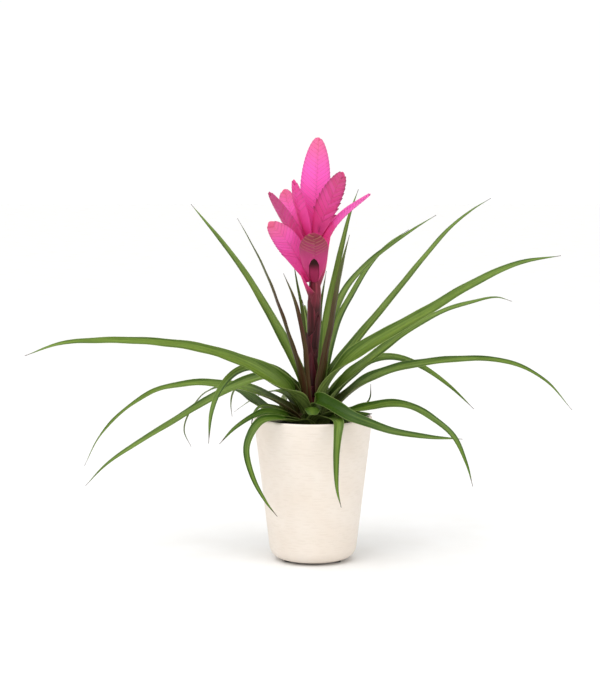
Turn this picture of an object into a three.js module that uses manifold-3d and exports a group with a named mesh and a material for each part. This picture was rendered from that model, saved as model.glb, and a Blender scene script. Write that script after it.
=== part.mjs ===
// A flowering quill bromeliad in a glazed cover pot that stands on three rubber pads.
// Millimetres, +Z up. The origin is the centre of the standing plane, under the pot's axis.
// -Y is the front of the plant, and +X is its right-hand side seen from the front.
import * as THREE from "three";
import { mergeVertices } from "three/addons/utils/BufferGeometryUtils.js";
import Module from "manifold-3d";

const wasm = await Module();
wasm.setup();

// ---------- driving dimensions ----------

const GAP = 0.3; // clearance between pieces that touch

const PADS = {
  count: 3,
  thickness: 1.5,
  radius: 4.5,
  bevel: 0.4,
  segments: 20,
  circleRadius: 28, // from the pot's axis to a pad's centre
  firstAngle: -32, // degrees, from +X towards +Y
};

const POT = {
  height: 146.4, // standing plane to the top of the lip
  rimRadius: 60,
  footFillet: 14, // rounding from the underside to the wall
  wallFootRadius: 44.4, // outside, where the rounding meets the wall
  wall: 4,
  floor: 6,
  insideFillet: 8,
  segments: 56,
  outsideSteps: 6, // facets of the foot's rounding, and of the lip
  insideSteps: 3,
};

const NURSERY_POT = {
  top: 135, // height of its rim above the standing plane
  topRadius: 50.5,
  bottomRadius: 31.5,
  wall: 1,
  floor: 1.5,
  collarHeight: 6,
  collarStep: 1.5, // how far the collar stands out from the wall
  drainSlots: 6,
  drainWidth: 3.5,
  drainLength: 12,
  drainCircleRadius: 20,
  segments: 40,
};

const MEDIUM = {
  edgeTop: 127,
  middleTop: 131,
  moundWidth: 14, // how far the nearly level top reaches out from the stem
  moundDrop: 1,
};

// The plant's short stem. Each pair is a radius and a height above the standing plane.
const CROWN = {
  profile: [
    [8, 112],
    [13, 119],
    [15.3, 128],
    [15.3, 138],
    [13.2, 145],
    [10.4, 152],
    [7.8, 157],
    [5.4, 159],
  ],
  segments: 24,
};

// Leaves: flat strips, channelled along the middle.
const LEAF = {
  thickness: 1.2,
  channelRadius: 9,
  columns: [-0.4, 0.4],
  seatWidthShare: 0.42, // width where it leaves the stem, as a share of its full width
  taper: [1.6, 1.1], // powers of the curve from its full width to its tip
  bluntTaper: [4, 0.5], // the same for a leaf with a blunt tip
  tipShare: 0.06, // width at the tip, as a share of its full width
  opened: 0.16, // share of the length over which it widens
  turned: 0.3, // share of the length over which it turns from the stem to its own attitude
  spanLength: 19,
  fewestSpans: 6,
};

// The flower stalk's middle line and its radius at each point of it.
const STALK = {
  route: [
    [-2, 0, 159.4],
    [-1.6, 0, 185],
    [0, 0, 224],
    [1.2, 0, 262],
    [1, 0, 290],
    [0, 0, 331],
  ],
  radii: [4.8, 5, 5.7, 6, 4.6, 2.8],
  spans: 14,
};

const QUILL = {
  spans: 18,
  columns: [-0.6, 0, 0.6],
  footShare: 0.28, // width at its foot, as a share of its full width
  tipRounding: 0.6,
  tipShare: 0.06,
  thickestAt: 0.4,
  footThickness: 0.5, // as a share of its full thickness
  tipThickness: 0.3,
  tooth: 0.07, // how far the bract tips stand out, as a share of its width
};

const BRACT = {
  thickness: 0.9,
  columns: [-0.66, 0, 0.66],
  spans: 7,
  tipShare: 0.08,
  standOff: 0.72, // from the stalk to the middle of its foot, beside the clearance
};

// ---------- surfaces ----------

const SURFACES = {
  glaze: { color: 0xf4e9dd, roughness: 0.45 },
  rubber: { color: 0x2e2a28, roughness: 0.9 },
  nurseryPlastic: { color: 0x1f1e1d, roughness: 0.6 },
  medium: { color: 0x3a2a1e, roughness: 0.95 },
  crown: { color: 0x5f6e34, roughness: 0.6 },
  leaf: { color: 0x4f7a33, roughness: 0.5 },
  stalk: { color: 0x6b2338, roughness: 0.55 },
  quill: { color: 0xe8399b, roughness: 0.5 },
};

// ---------- what grows where ----------

// seat: the height at which the leaf leaves the stem. width: full width, laid flat.
// facing: how far its upper face is turned to the front, 0 (not) to 1 (fully).
// route: its middle line from just outside the stem to its tip.
const LEAVES = {
  leaf_left_1: {
    seat: 149,
    width: 17,
    facing: 0.55,
    route: [[-20, -16, 168], [-36, -25, 183], [-63, -37, 202], [-106, -62, 221],
      [-157, -92, 232], [-205, -118, 236], [-239, -136, 235], [-270, -149, 225]],
  },
  leaf_left_2: {
    seat: 143,
    width: 14,
    facing: 0.5,
    route: [[-24, 5, 151], [-46, 18, 163], [-76, 42, 170], [-122, 76, 170],
      [-169, 108, 157], [-209, 130, 128], [-232, 142, 101], [-248, 148, 70]],
  },
  leaf_left_3: {
    seat: 151,
    width: 14,
    facing: 0.5,
    route: [[-21, 13, 175], [-42, 17, 184], [-66, 18, 180], [-105, 12, 162],
      [-143, 2, 140], [-181, -10, 118], [-208, -20, 100], [-228, -28, 80]],
  },
  leaf_left_4: {
    seat: 153,
    width: 13,
    facing: 0.6,
    route: [[-19, 0, 177], [-37, 0, 190], [-58, -8, 197], [-76, -28, 195],
      [-91, -56, 182], [-99, -82, 162], [-101, -104, 135]],
  },
  leaf_left_5: {
    seat: 137,
    width: 14,
    facing: 0.3,
    route: [[-27, 12, 143], [-45, 22, 148], [-59, 40, 155], [-73, 62, 162], [-92, 86, 165],
      [-116, 110, 154], [-134, 127, 127], [-138, 133, 110], [-131, 136, 93]],
  },
  leaf_left_6: {
    seat: 148,
    width: 9,
    facing: 0.2,
    route: [[-17, 28, 167], [-44, 66, 175], [-71, 108, 167], [-85, 134, 153],
      [-88, 144, 138], [-87, 148, 124]],
  },
  leaf_left_7: {
    seat: 141,
    width: 8,
    facing: 0.2,
    route: [[-19, 20, 157], [-34, 38, 166], [-53, 64, 160], [-69, 84, 148], [-83, 102, 136]],
  },
  leaf_left_8: {
    seat: 140,
    width: 7,
    facing: 0.3,
    route: [[-25, -9, 150], [-40, -16, 158], [-51, -22, 160], [-58, -28, 155], [-62, -36, 141]],
  },
  leaf_left_9: {
    seat: 136,
    width: 10,
    facing: 0.5,
    route: [[-24, -22, 148], [-45, -38, 156], [-59, -54, 154], [-76, -74, 146], [-91, -95, 133]],
  },
  leaf_left_10: {
    seat: 133,
    width: 12,
    facing: 0.4,
    route: [[-15, -22, 143], [-24, -36, 146], [-38, -50, 151], [-52, -66, 150],
      [-61, -79, 140.5], [-65, -89, 126], [-59, -98, 102], [-46, -103, 78], [-35, -106, 64]],
  },
  leaf_upright_1: {
    seat: 155,
    width: 13,
    facing: 0.5,
    route: [[-14, 9, 186], [-30, 22, 221], [-46, 37, 249], [-68, 58, 284], [-92, 79, 315],
      [-128, 108, 356]],
  },
  leaf_upright_2: {
    seat: 155,
    width: 12,
    facing: 0.4,
    route: [[-12, -11, 186], [-22, -28, 222], [-33, -50, 259], [-47, -78, 299],
      [-61, -102, 330], [-72, -121, 352]],
  },
  leaf_upright_3: {
    seat: 156,
    width: 10,
    facing: 0.3,
    route: [[-5, -14, 185], [-8, -28, 217], [-13, -44, 246], [-18, -59, 268], [-29, -82, 297]],
  },
  leaf_upright_4: {
    seat: 156,
    width: 7,
    facing: 0.3,
    route: [[-6, 12, 186], [-8, 22, 217], [-11, 32, 251], [-16, 44, 277], [-20, 55, 299]],
  },
  leaf_upright_5: {
    seat: 156,
    width: 5,
    facing: 0.2,
    route: [[-1, 13, 189], [-2, 26, 221], [-5, 36, 240], [-11, 48, 260]],
  },
  leaf_upright_6: {
    seat: 155,
    width: 7,
    facing: 0.2,
    route: [[5, 13, 186], [7, 26, 221], [8, 40, 252], [14, 59, 289]],
  },
  leaf_upright_7: {
    seat: 155,
    width: 12,
    facing: 0.5,
    route: [[10, 8, 185], [12, 19, 216], [15, 32, 246], [22, 48, 280], [30, 65, 314],
      [39, 82, 348], [48, 96, 372]],
  },
  leaf_upright_8: {
    seat: 156,
    width: 13,
    facing: 0.4,
    route: [[8, -12, 184], [13, -24, 214], [17, -36, 237], [23, -59, 279], [28, -78, 308],
      [34, -98, 335]],
  },
  leaf_right_1: {
    seat: 151,
    width: 12,
    facing: 0.5,
    route: [[8, 20, 181], [14, 38, 217], [23, 61, 247], [36, 80, 271], [59, 102, 295],
      [84, 120, 313], [109, 134, 329], [133, 144, 343]],
  },
  leaf_right_2: {
    seat: 147,
    width: 12,
    facing: 0.5,
    route: [[9, 26, 172], [16, 54, 205], [27, 84, 236], [41, 106, 260], [61, 129, 290],
      [82, 143, 312], [104, 150, 327]],
  },
  leaf_right_3: {
    seat: 153,
    width: 12,
    facing: 0.45,
    route: [[14, 6, 178], [28, 12, 201], [51, 25, 229], [81, 44, 263], [114, 66, 301],
      [142, 85, 331], [167, 100, 350], [188, 112, 362]],
  },
  leaf_right_4: {
    seat: 153,
    width: 19,
    facing: 0.6,
    route: [[14, -9, 176], [26, -14, 195], [47, -20, 215], [73, -26, 232], [112, -36, 256],
      [154, -46, 283], [199, -56, 305], [240, -64, 313]],
  },
  leaf_right_5: {
    seat: 148,
    width: 14,
    facing: 0.45,
    route: [[20, 2, 165], [36, 4, 185], [59, 8, 204], [91, 13, 228], [127, 18, 249],
      [160, 21, 260], [187, 22, 265], [202, 21, 261]],
  },
  leaf_right_6: {
    seat: 146,
    width: 11,
    facing: 0.4,
    route: [[19, 25, 162], [39, 52, 182], [60, 80, 194], [88, 108, 194], [118, 130, 181],
      [149, 144, 158], [176, 150, 132]],
  },
  leaf_right_7: {
    seat: 142,
    width: 14,
    facing: 0.5,
    route: [[22, 8, 153], [38, 15, 168], [59, 27, 181], [88, 44, 190], [128, 60, 195],
      [172, 75, 196], [210, 86, 190], [246, 92, 171], [275, 95, 139]],
  },
  leaf_right_8: {
    seat: 141,
    width: 14,
    facing: 0.5,
    route: [[22, -13, 149], [37, -24, 154], [53, -36, 159], [76, -54, 166], [96, -74, 166],
      [115, -96, 158], [134, -117, 143], [145, -133, 119], [150, -141, 100]],
  },
  leaf_right_9: {
    seat: 150,
    width: 16,
    facing: 0.5,
    turned: 0.1,
    opened: 0.08,
    route: [[3.7, -20, 164], [13, -33, 163], [24, -48, 159.5], [36, -59, 154.5], [52, -64, 149],
      [76, -70, 142], [110, -82, 138], [144, -90, 137]],
  },
  leaf_right_10: {
    seat: 138,
    width: 12,
    facing: 0.1,
    route: [[9, -20, 145], [16, -38, 149], [22, -55, 150.5], [24.5, -64, 148.5],
      [23.5, -72, 139], [22, -80, 115], [23, -84, 86], [27, -86, 69]],
  },
  leaf_right_11: {
    seat: 137,
    width: 5,
    facing: 0.2,
    route: [[20, 12, 146], [33, 20, 149], [51, 33, 151], [59, 42, 159], [60, 46, 173]],
  },
  leaf_right_12: {
    seat: 134,
    width: 9,
    facing: 0.3,
    route: [[25, 1, 146], [42, 3, 152], [58, 4, 149]],
  },
  leaf_front_1: {
    seat: 144,
    width: 17,
    facing: 0,
    arched: true,
    route: [[-1, -24, 157], [-0.8, -38, 160.3], [-0.8, -53, 155.5]],
  },
  leaf_back_1: {
    seat: 140,
    width: 13,
    facing: 0,
    route: [[3, 26, 152], [8, 50, 166], [12, 84, 163], [15, 116, 140], [16, 138, 104],
      [15, 148, 68]],
  },
  leaf_back_2: {
    seat: 135,
    width: 12,
    facing: 0,
    route: [[-12, 32, 148], [-22, 60, 159], [-30, 94, 150], [-35, 124, 120], [-37, 140, 82]],
  },
  leaf_back_3: {
    seat: 136,
    width: 12,
    facing: 0,
    route: [[14, 32, 147], [20, 62, 157], [27, 94, 144], [32, 122, 112], [34, 136, 72]],
  },
  leaf_back_4: {
    seat: 145,
    width: 12,
    facing: 0,
    route: [[-2, 22, 170], [-5, 48, 212], [-8, 82, 241], [-10, 116, 248], [-11, 148, 234]],
  },
};

// Flattened flower spikes. heading: plan direction that the spike's back faces.
// facing: how far that back is turned to the front, 0 (not) to 1 (fully). broadest: where
// along the spike it is broadest, 0 at its foot and 1 at its tip.
// foot: its height on the stalk; the terminal spike stands on the stalk's end.
const QUILLS = {
  quill_top: {
    width: 30,
    broadest: 0.5,
    thickness: 9,
    heading: [0, -1],
    facing: 0,
    terminal: true,
    route: [[2, 1, 375], [5.2, 3, 427]],
  },
  quill_upper_right: {
    foot: 325,
    width: 22,
    broadest: 0.55,
    thickness: 8,
    heading: [0.45, -0.9],
    facing: 0.85,
    route: [[14.4, -17, 361.7], [22.6, -24, 379.2], [29.1, -30, 393.3]],
  },
  quill_upper_left: {
    foot: 323,
    width: 19,
    broadest: 0.5,
    thickness: 7,
    heading: [-0.8, -0.6],
    facing: 0,
    route: [[-13.5, -14, 362], [-19.3, -22, 385.8]],
  },
  quill_rear_left: {
    foot: 314,
    width: 21,
    broadest: 0.65,
    thickness: 7,
    heading: [-0.6, 0.8],
    facing: 0.8,
    route: [[-16.2, 14, 338.8], [-24.8, 24, 358.5], [-29.1, 30, 374.5]],
  },
  quill_left: {
    foot: 304,
    width: 21,
    broadest: 0.5,
    thickness: 9,
    heading: [-1, -0.15],
    facing: 0.35,
    route: [[-24.1, -5, 342.8], [-44.1, -9, 373.2]],
  },
  quill_lower_left: {
    foot: 284,
    width: 24,
    broadest: 0.6,
    thickness: 8,
    heading: [-0.78, -0.62],
    facing: 0.85,
    route: [[-16.6, -14, 309.9], [-29, -24, 328.2], [-43.9, -33, 344.3]],
  },
  quill_right: {
    foot: 286,
    width: 16,
    broadest: 0.45,
    thickness: 8,
    heading: [1, 0.1],
    facing: 0.3,
    route: [[10, 1.5, 315], [15, 2, 331.9], [29.2, 4, 349.5], [57.6, 6, 370.7]],
  },
  quill_front: {
    foot: 284,
    width: 29,
    broadest: 0.66,
    thickness: 9,
    heading: [0, -1],
    facing: 0,
    route: [[0.7, -27, 310.2], [0.1, -46, 334]],
  },
  quill_rear: {
    foot: 292,
    width: 20,
    broadest: 0.5,
    thickness: 7,
    heading: [-0.15, 1],
    facing: 0,
    route: [[-4, 28, 334], [-7, 46, 366]],
  },
  quill_rear_right: {
    foot: 306,
    width: 19,
    broadest: 0.5,
    thickness: 7,
    heading: [0.3, 0.95],
    facing: 0,
    route: [[7, 24, 347], [11, 39, 377]],
  },
};

// Sheath-like bracts. foot: height on the stalk. hug: the radius of the roll that each is
// bent to.
const BRACTS = {
  stalk_bract_1: {
    foot: 178,
    width: 13,
    hug: 6.4,
    heading: [-0.3, -1],
    route: [[-3.2, -6, 196], [-2.6, -6.5, 212]],
  },
  stalk_bract_2: {
    foot: 216,
    width: 13,
    hug: 7,
    heading: [0.8, -0.6],
    route: [[6, -4.4, 233], [6.7, -4.8, 250]],
  },
  stalk_bract_3: {
    foot: 252,
    width: 13,
    hug: 7,
    heading: [0.2, -1],
    route: [[2.6, -7.1, 262], [2.8, -7.6, 273]],
  },
  quill_bract_lower_left: {
    foot: 268,
    width: 12,
    hug: 9,
    heading: [-1, -0.4],
    route: [[-8.8, -9, 281], [-13.5, -15.5, 294]],
  },
  quill_bract_left: {
    foot: 292,
    width: 13,
    hug: 8,
    heading: [-1, -0.15],
    route: [[-13, -3, 305], [-19, -4.5, 315]],
  },
  quill_bract_right: {
    foot: 276,
    width: 9,
    hug: 8,
    heading: [0.92, -0.4],
    route: [[12, -7, 294], [16.5, -13, 316], [20, -17, 334]],
  },
};

// ---------- shaping helpers ----------

const UP = new THREE.Vector3(0, 0, 1);
const FRONT = new THREE.Vector3(0, -1, 0);
const BACK = new THREE.Vector3(0, 1, 0);

const vector = ([x, y, z]) => new THREE.Vector3(x, y, z);
const planDirection = ([x, y]) => new THREE.Vector3(x, y, 0).normalize();

// The value at x on a line of straight stretches through [position, value] pairs.
function along(pairs, x) {
  const next = pairs.findIndex(([position]) => position >= x);
  if (next === 0) return pairs[0][1];
  if (next < 0) return pairs[pairs.length - 1][1];
  const [x0, y0] = pairs[next - 1];
  const [x1, y1] = pairs[next];
  return THREE.MathUtils.mapLinear(x, x0, x1, y0, y1);
}

function plain(geometry) {
  geometry.deleteAttribute("normal");
  geometry.deleteAttribute("uv");
  return mergeVertices(geometry, 1e-4);
}

// A solid of revolution about +Z from [radius, height] pairs, listed bottom to top on the
// outside and top to bottom on the inside.
function turned(profile, segments) {
  const points = profile.map(([radius, height]) => new THREE.Vector2(radius, height));
  const geometry = new THREE.LatheGeometry(points, segments);
  geometry.rotateX(Math.PI / 2);
  return plain(geometry);
}

// Points of a rounded corner, from one angle to another in degrees.
function corner(centreRadius, centreHeight, radius, fromAngle, toAngle, steps) {
  return Array.from({ length: steps + 1 }, (_, i) => {
    const angle = THREE.MathUtils.degToRad(fromAngle + ((toAngle - fromAngle) * i) / steps);
    return [centreRadius + radius * Math.cos(angle), centreHeight + radius * Math.sin(angle)];
  });
}

// One cross-section of a strip, as [across, up] pairs: left edge, upper side, right edge,
// lower side. halves are the half widths on its left and right; bend is the radius of the
// roll that it is curved to.
function stripSection({ halves, thickness, bend, columns }) {
  const place = (share, side) => {
    const across = share * (share < 0 ? halves[0] : halves[1]);
    const angle = across / bend;
    const lift = (side * thickness * Math.sqrt(1 - share * share)) / 2;
    return [(bend - lift) * Math.sin(angle), bend - (bend - lift) * Math.cos(angle)];
  };
  const upper = columns.map((share) => place(share, 1));
  const lower = columns.map((share) => place(share, -1)).reverse();
  return [place(-1, 0), ...upper, place(1, 0), ...lower];
}

// A closed strip along a route. sectionAt(t) gives the section at t, 0 at the foot and 1 at
// the tip. headingAt(t) is the plan direction that its back faces, and facingAt(t) turns
// its upper side towards turnedTo.
function strip({ route, spans, headingAt, facingAt, turnedTo = FRONT, sectionAt }) {
  const curve = new THREE.CatmullRomCurve3(route.map(vector), false, "centripetal");
  const positions = [];
  let ringSize = 0;
  for (let i = 0; i <= spans; i++) {
    const t = i / spans;
    const point = curve.getPointAt(t);
    const tangent = curve.getTangentAt(t);
    const sideways = UP.clone().cross(headingAt(t));
    const upward = tangent.clone().cross(sideways).normalize();
    upward.lerp(turnedTo, facingAt(t));
    upward.addScaledVector(tangent, -upward.dot(tangent)).normalize();
    const across = tangent.clone().cross(upward);
    const section = sectionAt(t);
    ringSize = section.length;
    for (const [x, y] of section) {
      const corner = point.clone().addScaledVector(across, x).addScaledVector(upward, y);
      positions.push(corner.x, corner.y, corner.z);
    }
  }
  // Each upper quad and the lower one under it are split the same way, so that a twisted
  // strip keeps its thickness.
  const index = [];
  for (let i = 0; i < spans; i++) {
    for (let j = 0; j < ringSize; j++) {
      const a = i * ringSize + j;
      const b = i * ringSize + ((j + 1) % ringSize);
      const c = a + ringSize;
      const d = b + ringSize;
      index.push(...(j < ringSize / 2 ? [a, b, d, a, d, c] : [a, b, c, b, d, c]));
    }
  }
  index.push(...endCap(0, ringSize, true));
  index.push(...endCap(spans * ringSize, ringSize, false));
  const geometry = new THREE.BufferGeometry();
  geometry.setAttribute("position", new THREE.Float32BufferAttribute(positions, 3));
  geometry.setIndex(index);
  return geometry;
}

// Closes one end of a strip, pairing its upper corners with its lower ones.
function endCap(first, ringSize, atFoot) {
  const half = ringSize / 2;
  const triangles = [];
  for (let i = 0; i < half; i++) {
    const upper = first + i;
    const lower = first + ((ringSize - i) % ringSize);
    const nextUpper = upper + 1;
    const nextLower = first + ringSize - i - 1;
    if (i < half - 1) triangles.push([upper, nextUpper, nextLower]);
    else triangles.push([upper, nextUpper, lower]);
    if (i > 0 && i < half - 1) triangles.push([upper, nextLower, lower]);
  }
  return triangles.flatMap(([a, b, c]) => (atFoot ? [a, c, b] : [a, b, c]));
}

function toSolid(geometry) {
  return new wasm.Manifold(
    new wasm.Mesh({
      numProp: 3,
      vertProperties: geometry.getAttribute("position").array,
      triVerts: new Uint32Array(geometry.index.array),
    }),
  );
}

function toGeometry(solid) {
  const mesh = solid.getMesh();
  const geometry = new THREE.BufferGeometry();
  geometry.setAttribute("position", new THREE.BufferAttribute(mesh.vertProperties, 3));
  geometry.setIndex(new THREE.BufferAttribute(mesh.triVerts, 1));
  return geometry;
}

const plant = new THREE.Group();

function add(name, geometry, surface) {
  const material = new THREE.MeshStandardMaterial({ ...surface, metalness: 0 });
  const mesh = new THREE.Mesh(geometry, material);
  mesh.name = name;
  plant.add(mesh);
  return mesh;
}

// ---------- the pot and what it holds ----------

const potUnderside = PADS.thickness;
const potFloorTop = potUnderside + POT.floor;
const wallFootHeight = potUnderside + POT.footFillet;
const lipRadius = POT.wall / 2;
const lipHeight = POT.height - lipRadius;
const wallLean = (POT.rimRadius - POT.wallFootRadius) / (lipHeight - wallFootHeight);
const wallLeanDegrees = THREE.MathUtils.radToDeg(Math.atan(wallLean));
const outsideRadius = (height) => POT.wallFootRadius + (height - wallFootHeight) * wallLean;

function ceramicPot() {
  const insideFootHeight = potFloorTop + POT.insideFillet;
  const insideFootRadius = outsideRadius(insideFootHeight) - POT.wall - POT.insideFillet;
  const footCentre = POT.wallFootRadius - POT.footFillet;
  const steps = POT.outsideSteps;
  return turned(
    [
      [0, potUnderside],
      ...corner(footCentre, wallFootHeight, POT.footFillet, -90, -wallLeanDegrees, steps),
      ...corner(POT.rimRadius - lipRadius, lipHeight, lipRadius, -wallLeanDegrees, 180, steps),
      ...corner(insideFootRadius, insideFootHeight, POT.insideFillet, 0, -90, POT.insideSteps),
      [0, potFloorTop],
    ],
    POT.segments,
  );
}

function footPad() {
  const { radius, bevel } = PADS;
  const top = PADS.thickness - GAP;
  const profile = [[0, 0], [radius - bevel, 0], [radius, bevel], [radius, top], [0, top]];
  return turned(profile, PADS.segments);
}

const nurseryUnderside = potFloorTop + GAP;
const nurseryWallRadius = (height) =>
  THREE.MathUtils.mapLinear(
    height,
    nurseryUnderside,
    NURSERY_POT.top,
    NURSERY_POT.bottomRadius,
    NURSERY_POT.topRadius,
  );

function nurseryPot() {
  const { top, wall, floor, collarHeight, collarStep } = NURSERY_POT;
  const collarFoot = top - collarHeight;
  const collarRadius = nurseryWallRadius(collarFoot) + collarStep;
  const floorTop = nurseryUnderside + floor;
  let shell = toSolid(
    turned(
      [
        [0, nurseryUnderside],
        [NURSERY_POT.bottomRadius, nurseryUnderside],
        [nurseryWallRadius(collarFoot), collarFoot],
        [collarRadius, collarFoot],
        [collarRadius, top],
        [nurseryWallRadius(top) - wall, top],
        [nurseryWallRadius(floorTop) - wall, floorTop],
        [0, floorTop],
      ],
      NURSERY_POT.segments,
    ),
  );
  for (let i = 0; i < NURSERY_POT.drainSlots; i++) {
    const slot = new THREE.BoxGeometry(NURSERY_POT.drainLength, NURSERY_POT.drainWidth, 4 * floor);
    slot.translate(NURSERY_POT.drainCircleRadius, 0, nurseryUnderside + floor / 2);
    slot.rotateZ((i * 2 * Math.PI) / NURSERY_POT.drainSlots);
    shell = shell.subtract(toSolid(plain(slot)));
  }
  return toGeometry(shell);
}

function growingMedium() {
  const bottom = nurseryUnderside + NURSERY_POT.floor + GAP;
  const clear = NURSERY_POT.wall + GAP;
  const pocket = CROWN.profile
    .filter(([, height]) => height < MEDIUM.middleTop)
    .map(([radius, height]) => [radius + GAP, height - GAP])
    .reverse();
  const mouthRadius = pocket[0][0];
  return turned(
    [
      [0, bottom],
      [nurseryWallRadius(bottom) - clear, bottom],
      [nurseryWallRadius(MEDIUM.edgeTop) - clear, MEDIUM.edgeTop],
      [mouthRadius + MEDIUM.moundWidth, MEDIUM.middleTop - MEDIUM.moundDrop],
      [mouthRadius, MEDIUM.middleTop],
      ...pocket,
      [0, pocket[pocket.length - 1][1]],
    ],
    NURSERY_POT.segments,
  );
}

add("ceramic_pot", ceramicPot(), SURFACES.glaze);
for (let i = 0; i < PADS.count; i++) {
  const angle = THREE.MathUtils.degToRad(PADS.firstAngle + (i * 360) / PADS.count);
  const pad = add(`foot_pad_${i + 1}`, footPad(), SURFACES.rubber);
  pad.position.set(PADS.circleRadius * Math.cos(angle), PADS.circleRadius * Math.sin(angle), 0);
}
add("nursery_pot", nurseryPot(), SURFACES.nurseryPlastic);
add("growing_medium", growingMedium(), SURFACES.medium);

// ---------- the plant's stem and leaves ----------

function crown() {
  const { profile } = CROWN;
  const bottom = profile[0][1];
  const top = profile[profile.length - 1][1];
  return turned([[0, bottom], ...profile, [0, top]], CROWN.segments);
}

const crownRadius = (height) => along(CROWN.profile.map(([r, z]) => [z, r]), height);

// Width of a leaf at t, as a share of its full width: it leaves the stem narrow, is
// broadest in its lower third and runs out to a thin tip, or to a blunt one where the leaf
// is arched.
function leafWidthShare(t, { opened = LEAF.opened, arched }) {
  const foot = THREE.MathUtils.lerp(
    LEAF.seatWidthShare,
    1,
    THREE.MathUtils.smoothstep(t, 0, opened),
  );
  const [early, late] = arched ? LEAF.bluntTaper : LEAF.taper;
  return foot * Math.max(Math.pow(1 - Math.pow(t, early), late), LEAF.tipShare);
}

// A leaf of the table: the share of it over which it turns to its own attitude and opens to
// its full width can be its own, and an arched one is hollow below instead of above.
function leaf(shape) {
  const { seat, width, facing, route, turned = LEAF.turned, arched } = shape;
  const first = route[0];
  const tip = route[route.length - 1];
  const outward = planDirection(first);
  const rise = first[2] - seat;
  const run = Math.hypot(first[0], first[1]) - crownRadius(seat);
  const steepness = rise / Math.hypot(rise, run);
  const reach = crownRadius(seat) + GAP + (steepness * LEAF.thickness) / 2;
  const foot = [reach * outward.x, reach * outward.y, seat];
  const towardsTip = planDirection([tip[0] - foot[0], tip[1] - foot[1]]);
  const turnedShare = (t) => THREE.MathUtils.smoothstep(t, 0, turned);
  const whole = [foot, ...route];
  const length = new THREE.CatmullRomCurve3(whole.map(vector)).getLength();
  return strip({
    route: whole,
    spans: Math.max(LEAF.fewestSpans, Math.round(length / LEAF.spanLength)),
    headingAt: (t) => outward.clone().lerp(towardsTip, turnedShare(t)),
    facingAt: (t) => facing * turnedShare(t),
    sectionAt: (t) => {
      const half = (leafWidthShare(t, shape) * width) / 2;
      return stripSection({
        halves: [half, half],
        thickness: THREE.MathUtils.lerp(LEAF.thickness, LEAF.thickness / 2, t),
        bend: arched ? -LEAF.channelRadius : LEAF.channelRadius,
        columns: LEAF.columns,
      });
    },
  });
}

add("crown", crown(), SURFACES.crown);
for (const [name, shape] of Object.entries(LEAVES)) add(name, leaf(shape), SURFACES.leaf);

// ---------- the flower stalk, its bracts and its quills ----------

const stalkRadiusPairs = STALK.route.map(([, , z], i) => [z, STALK.radii[i]]);
const stalkRadius = (height) => along(stalkRadiusPairs, height);
const stalkMiddle = (height) => along(STALK.route.map(([x, , z]) => [z, x]), height);
const ROUND_COLUMNS = [-0.866, -0.5, 0, 0.5, 0.866];
const UNBENT = 1e4;

function stalk() {
  const foot = STALK.route[0][2];
  const top = STALK.route[STALK.route.length - 1][2];
  return strip({
    route: STALK.route,
    spans: STALK.spans,
    headingAt: () => FRONT,
    facingAt: () => 0,
    sectionAt: (t) => {
      const radius = stalkRadius(THREE.MathUtils.lerp(foot, top, t));
      return stripSection({
        halves: [radius, radius],
        thickness: 2 * radius,
        bend: UNBENT,
        columns: ROUND_COLUMNS,
      });
    },
  });
}

// Width of a quill at t, as a share of its full width, which it has at broadest.
function quillWidthShare(t, broadest) {
  if (t < broadest) {
    const rise = Math.sin((t / broadest) * (Math.PI / 2));
    return THREE.MathUtils.lerp(QUILL.footShare, 1, rise);
  }
  const past = (t - broadest) / (1 - broadest);
  return Math.max(Math.pow(1 - past * past, QUILL.tipRounding), QUILL.tipShare);
}

// The bracts of a quill stand in two rows, so their tips alternate along its two edges.
function quill({ foot, width, broadest, thickness, heading, facing, terminal, route }) {
  const outward = planDirection(heading);
  const top = STALK.route[STALK.route.length - 1];
  const footThickness = thickness * QUILL.footThickness;
  const tipThickness = thickness * QUILL.tipThickness;
  const rise = terminal ? 1 : route[0][2] - foot;
  const run = terminal ? 0 : Math.hypot(route[0][0], route[0][1]) - stalkRadius(foot);
  const steepness = rise / Math.hypot(rise, run);
  const reach = stalkRadius(foot) + GAP + (steepness * footThickness) / 2;
  const start = terminal
    ? [top[0], top[1], top[2] + 1.5 * GAP]
    : [stalkMiddle(foot) + reach * outward.x, reach * outward.y, foot];
  return strip({
    route: [start, ...route],
    spans: QUILL.spans,
    headingAt: () => outward,
    facingAt: () => facing,
    turnedTo: BACK,
    sectionAt: (t) => {
      const half = (quillWidthShare(t, broadest) * width) / 2;
      const ring = Math.round(t * QUILL.spans);
      const drawnIn = 1 - QUILL.tooth;
      return stripSection({
        halves: ring % 2 ? [half, half * drawnIn] : [half * drawnIn, half],
        thickness: along([[0, footThickness], [QUILL.thickestAt, thickness], [1, tipThickness]], t),
        bend: UNBENT,
        columns: QUILL.columns,
      });
    },
  });
}

function bract({ foot, width, hug, heading, route }) {
  const outward = planDirection(heading);
  const reach = stalkRadius(foot) + GAP + BRACT.standOff;
  const start = [stalkMiddle(foot) + reach * outward.x, reach * outward.y, foot];
  return strip({
    route: [start, ...route],
    spans: BRACT.spans,
    headingAt: () => outward,
    facingAt: () => 0,
    sectionAt: (t) => {
      const half = (width / 2) * Math.max(Math.sqrt(1 - t * t), BRACT.tipShare);
      return stripSection({
        halves: [half, half],
        thickness: BRACT.thickness,
        bend: hug,
        columns: BRACT.columns,
      });
    },
  });
}

add("flower_stalk", stalk(), SURFACES.stalk);
for (const [name, shape] of Object.entries(BRACTS)) add(name, bract(shape), SURFACES.stalk);
for (const [name, shape] of Object.entries(QUILLS)) add(name, quill(shape), SURFACES.quill);

export default plant;
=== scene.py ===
"""A flowering quill bromeliad in a cream cover pot: its looks, built around the CAD frame.

Shapes are worked out in millimetres, in the CAD frame, and turned to metres when a mesh is
made. +Z is up, -Y is the plant's front and +X is its right-hand side.
"""

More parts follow.
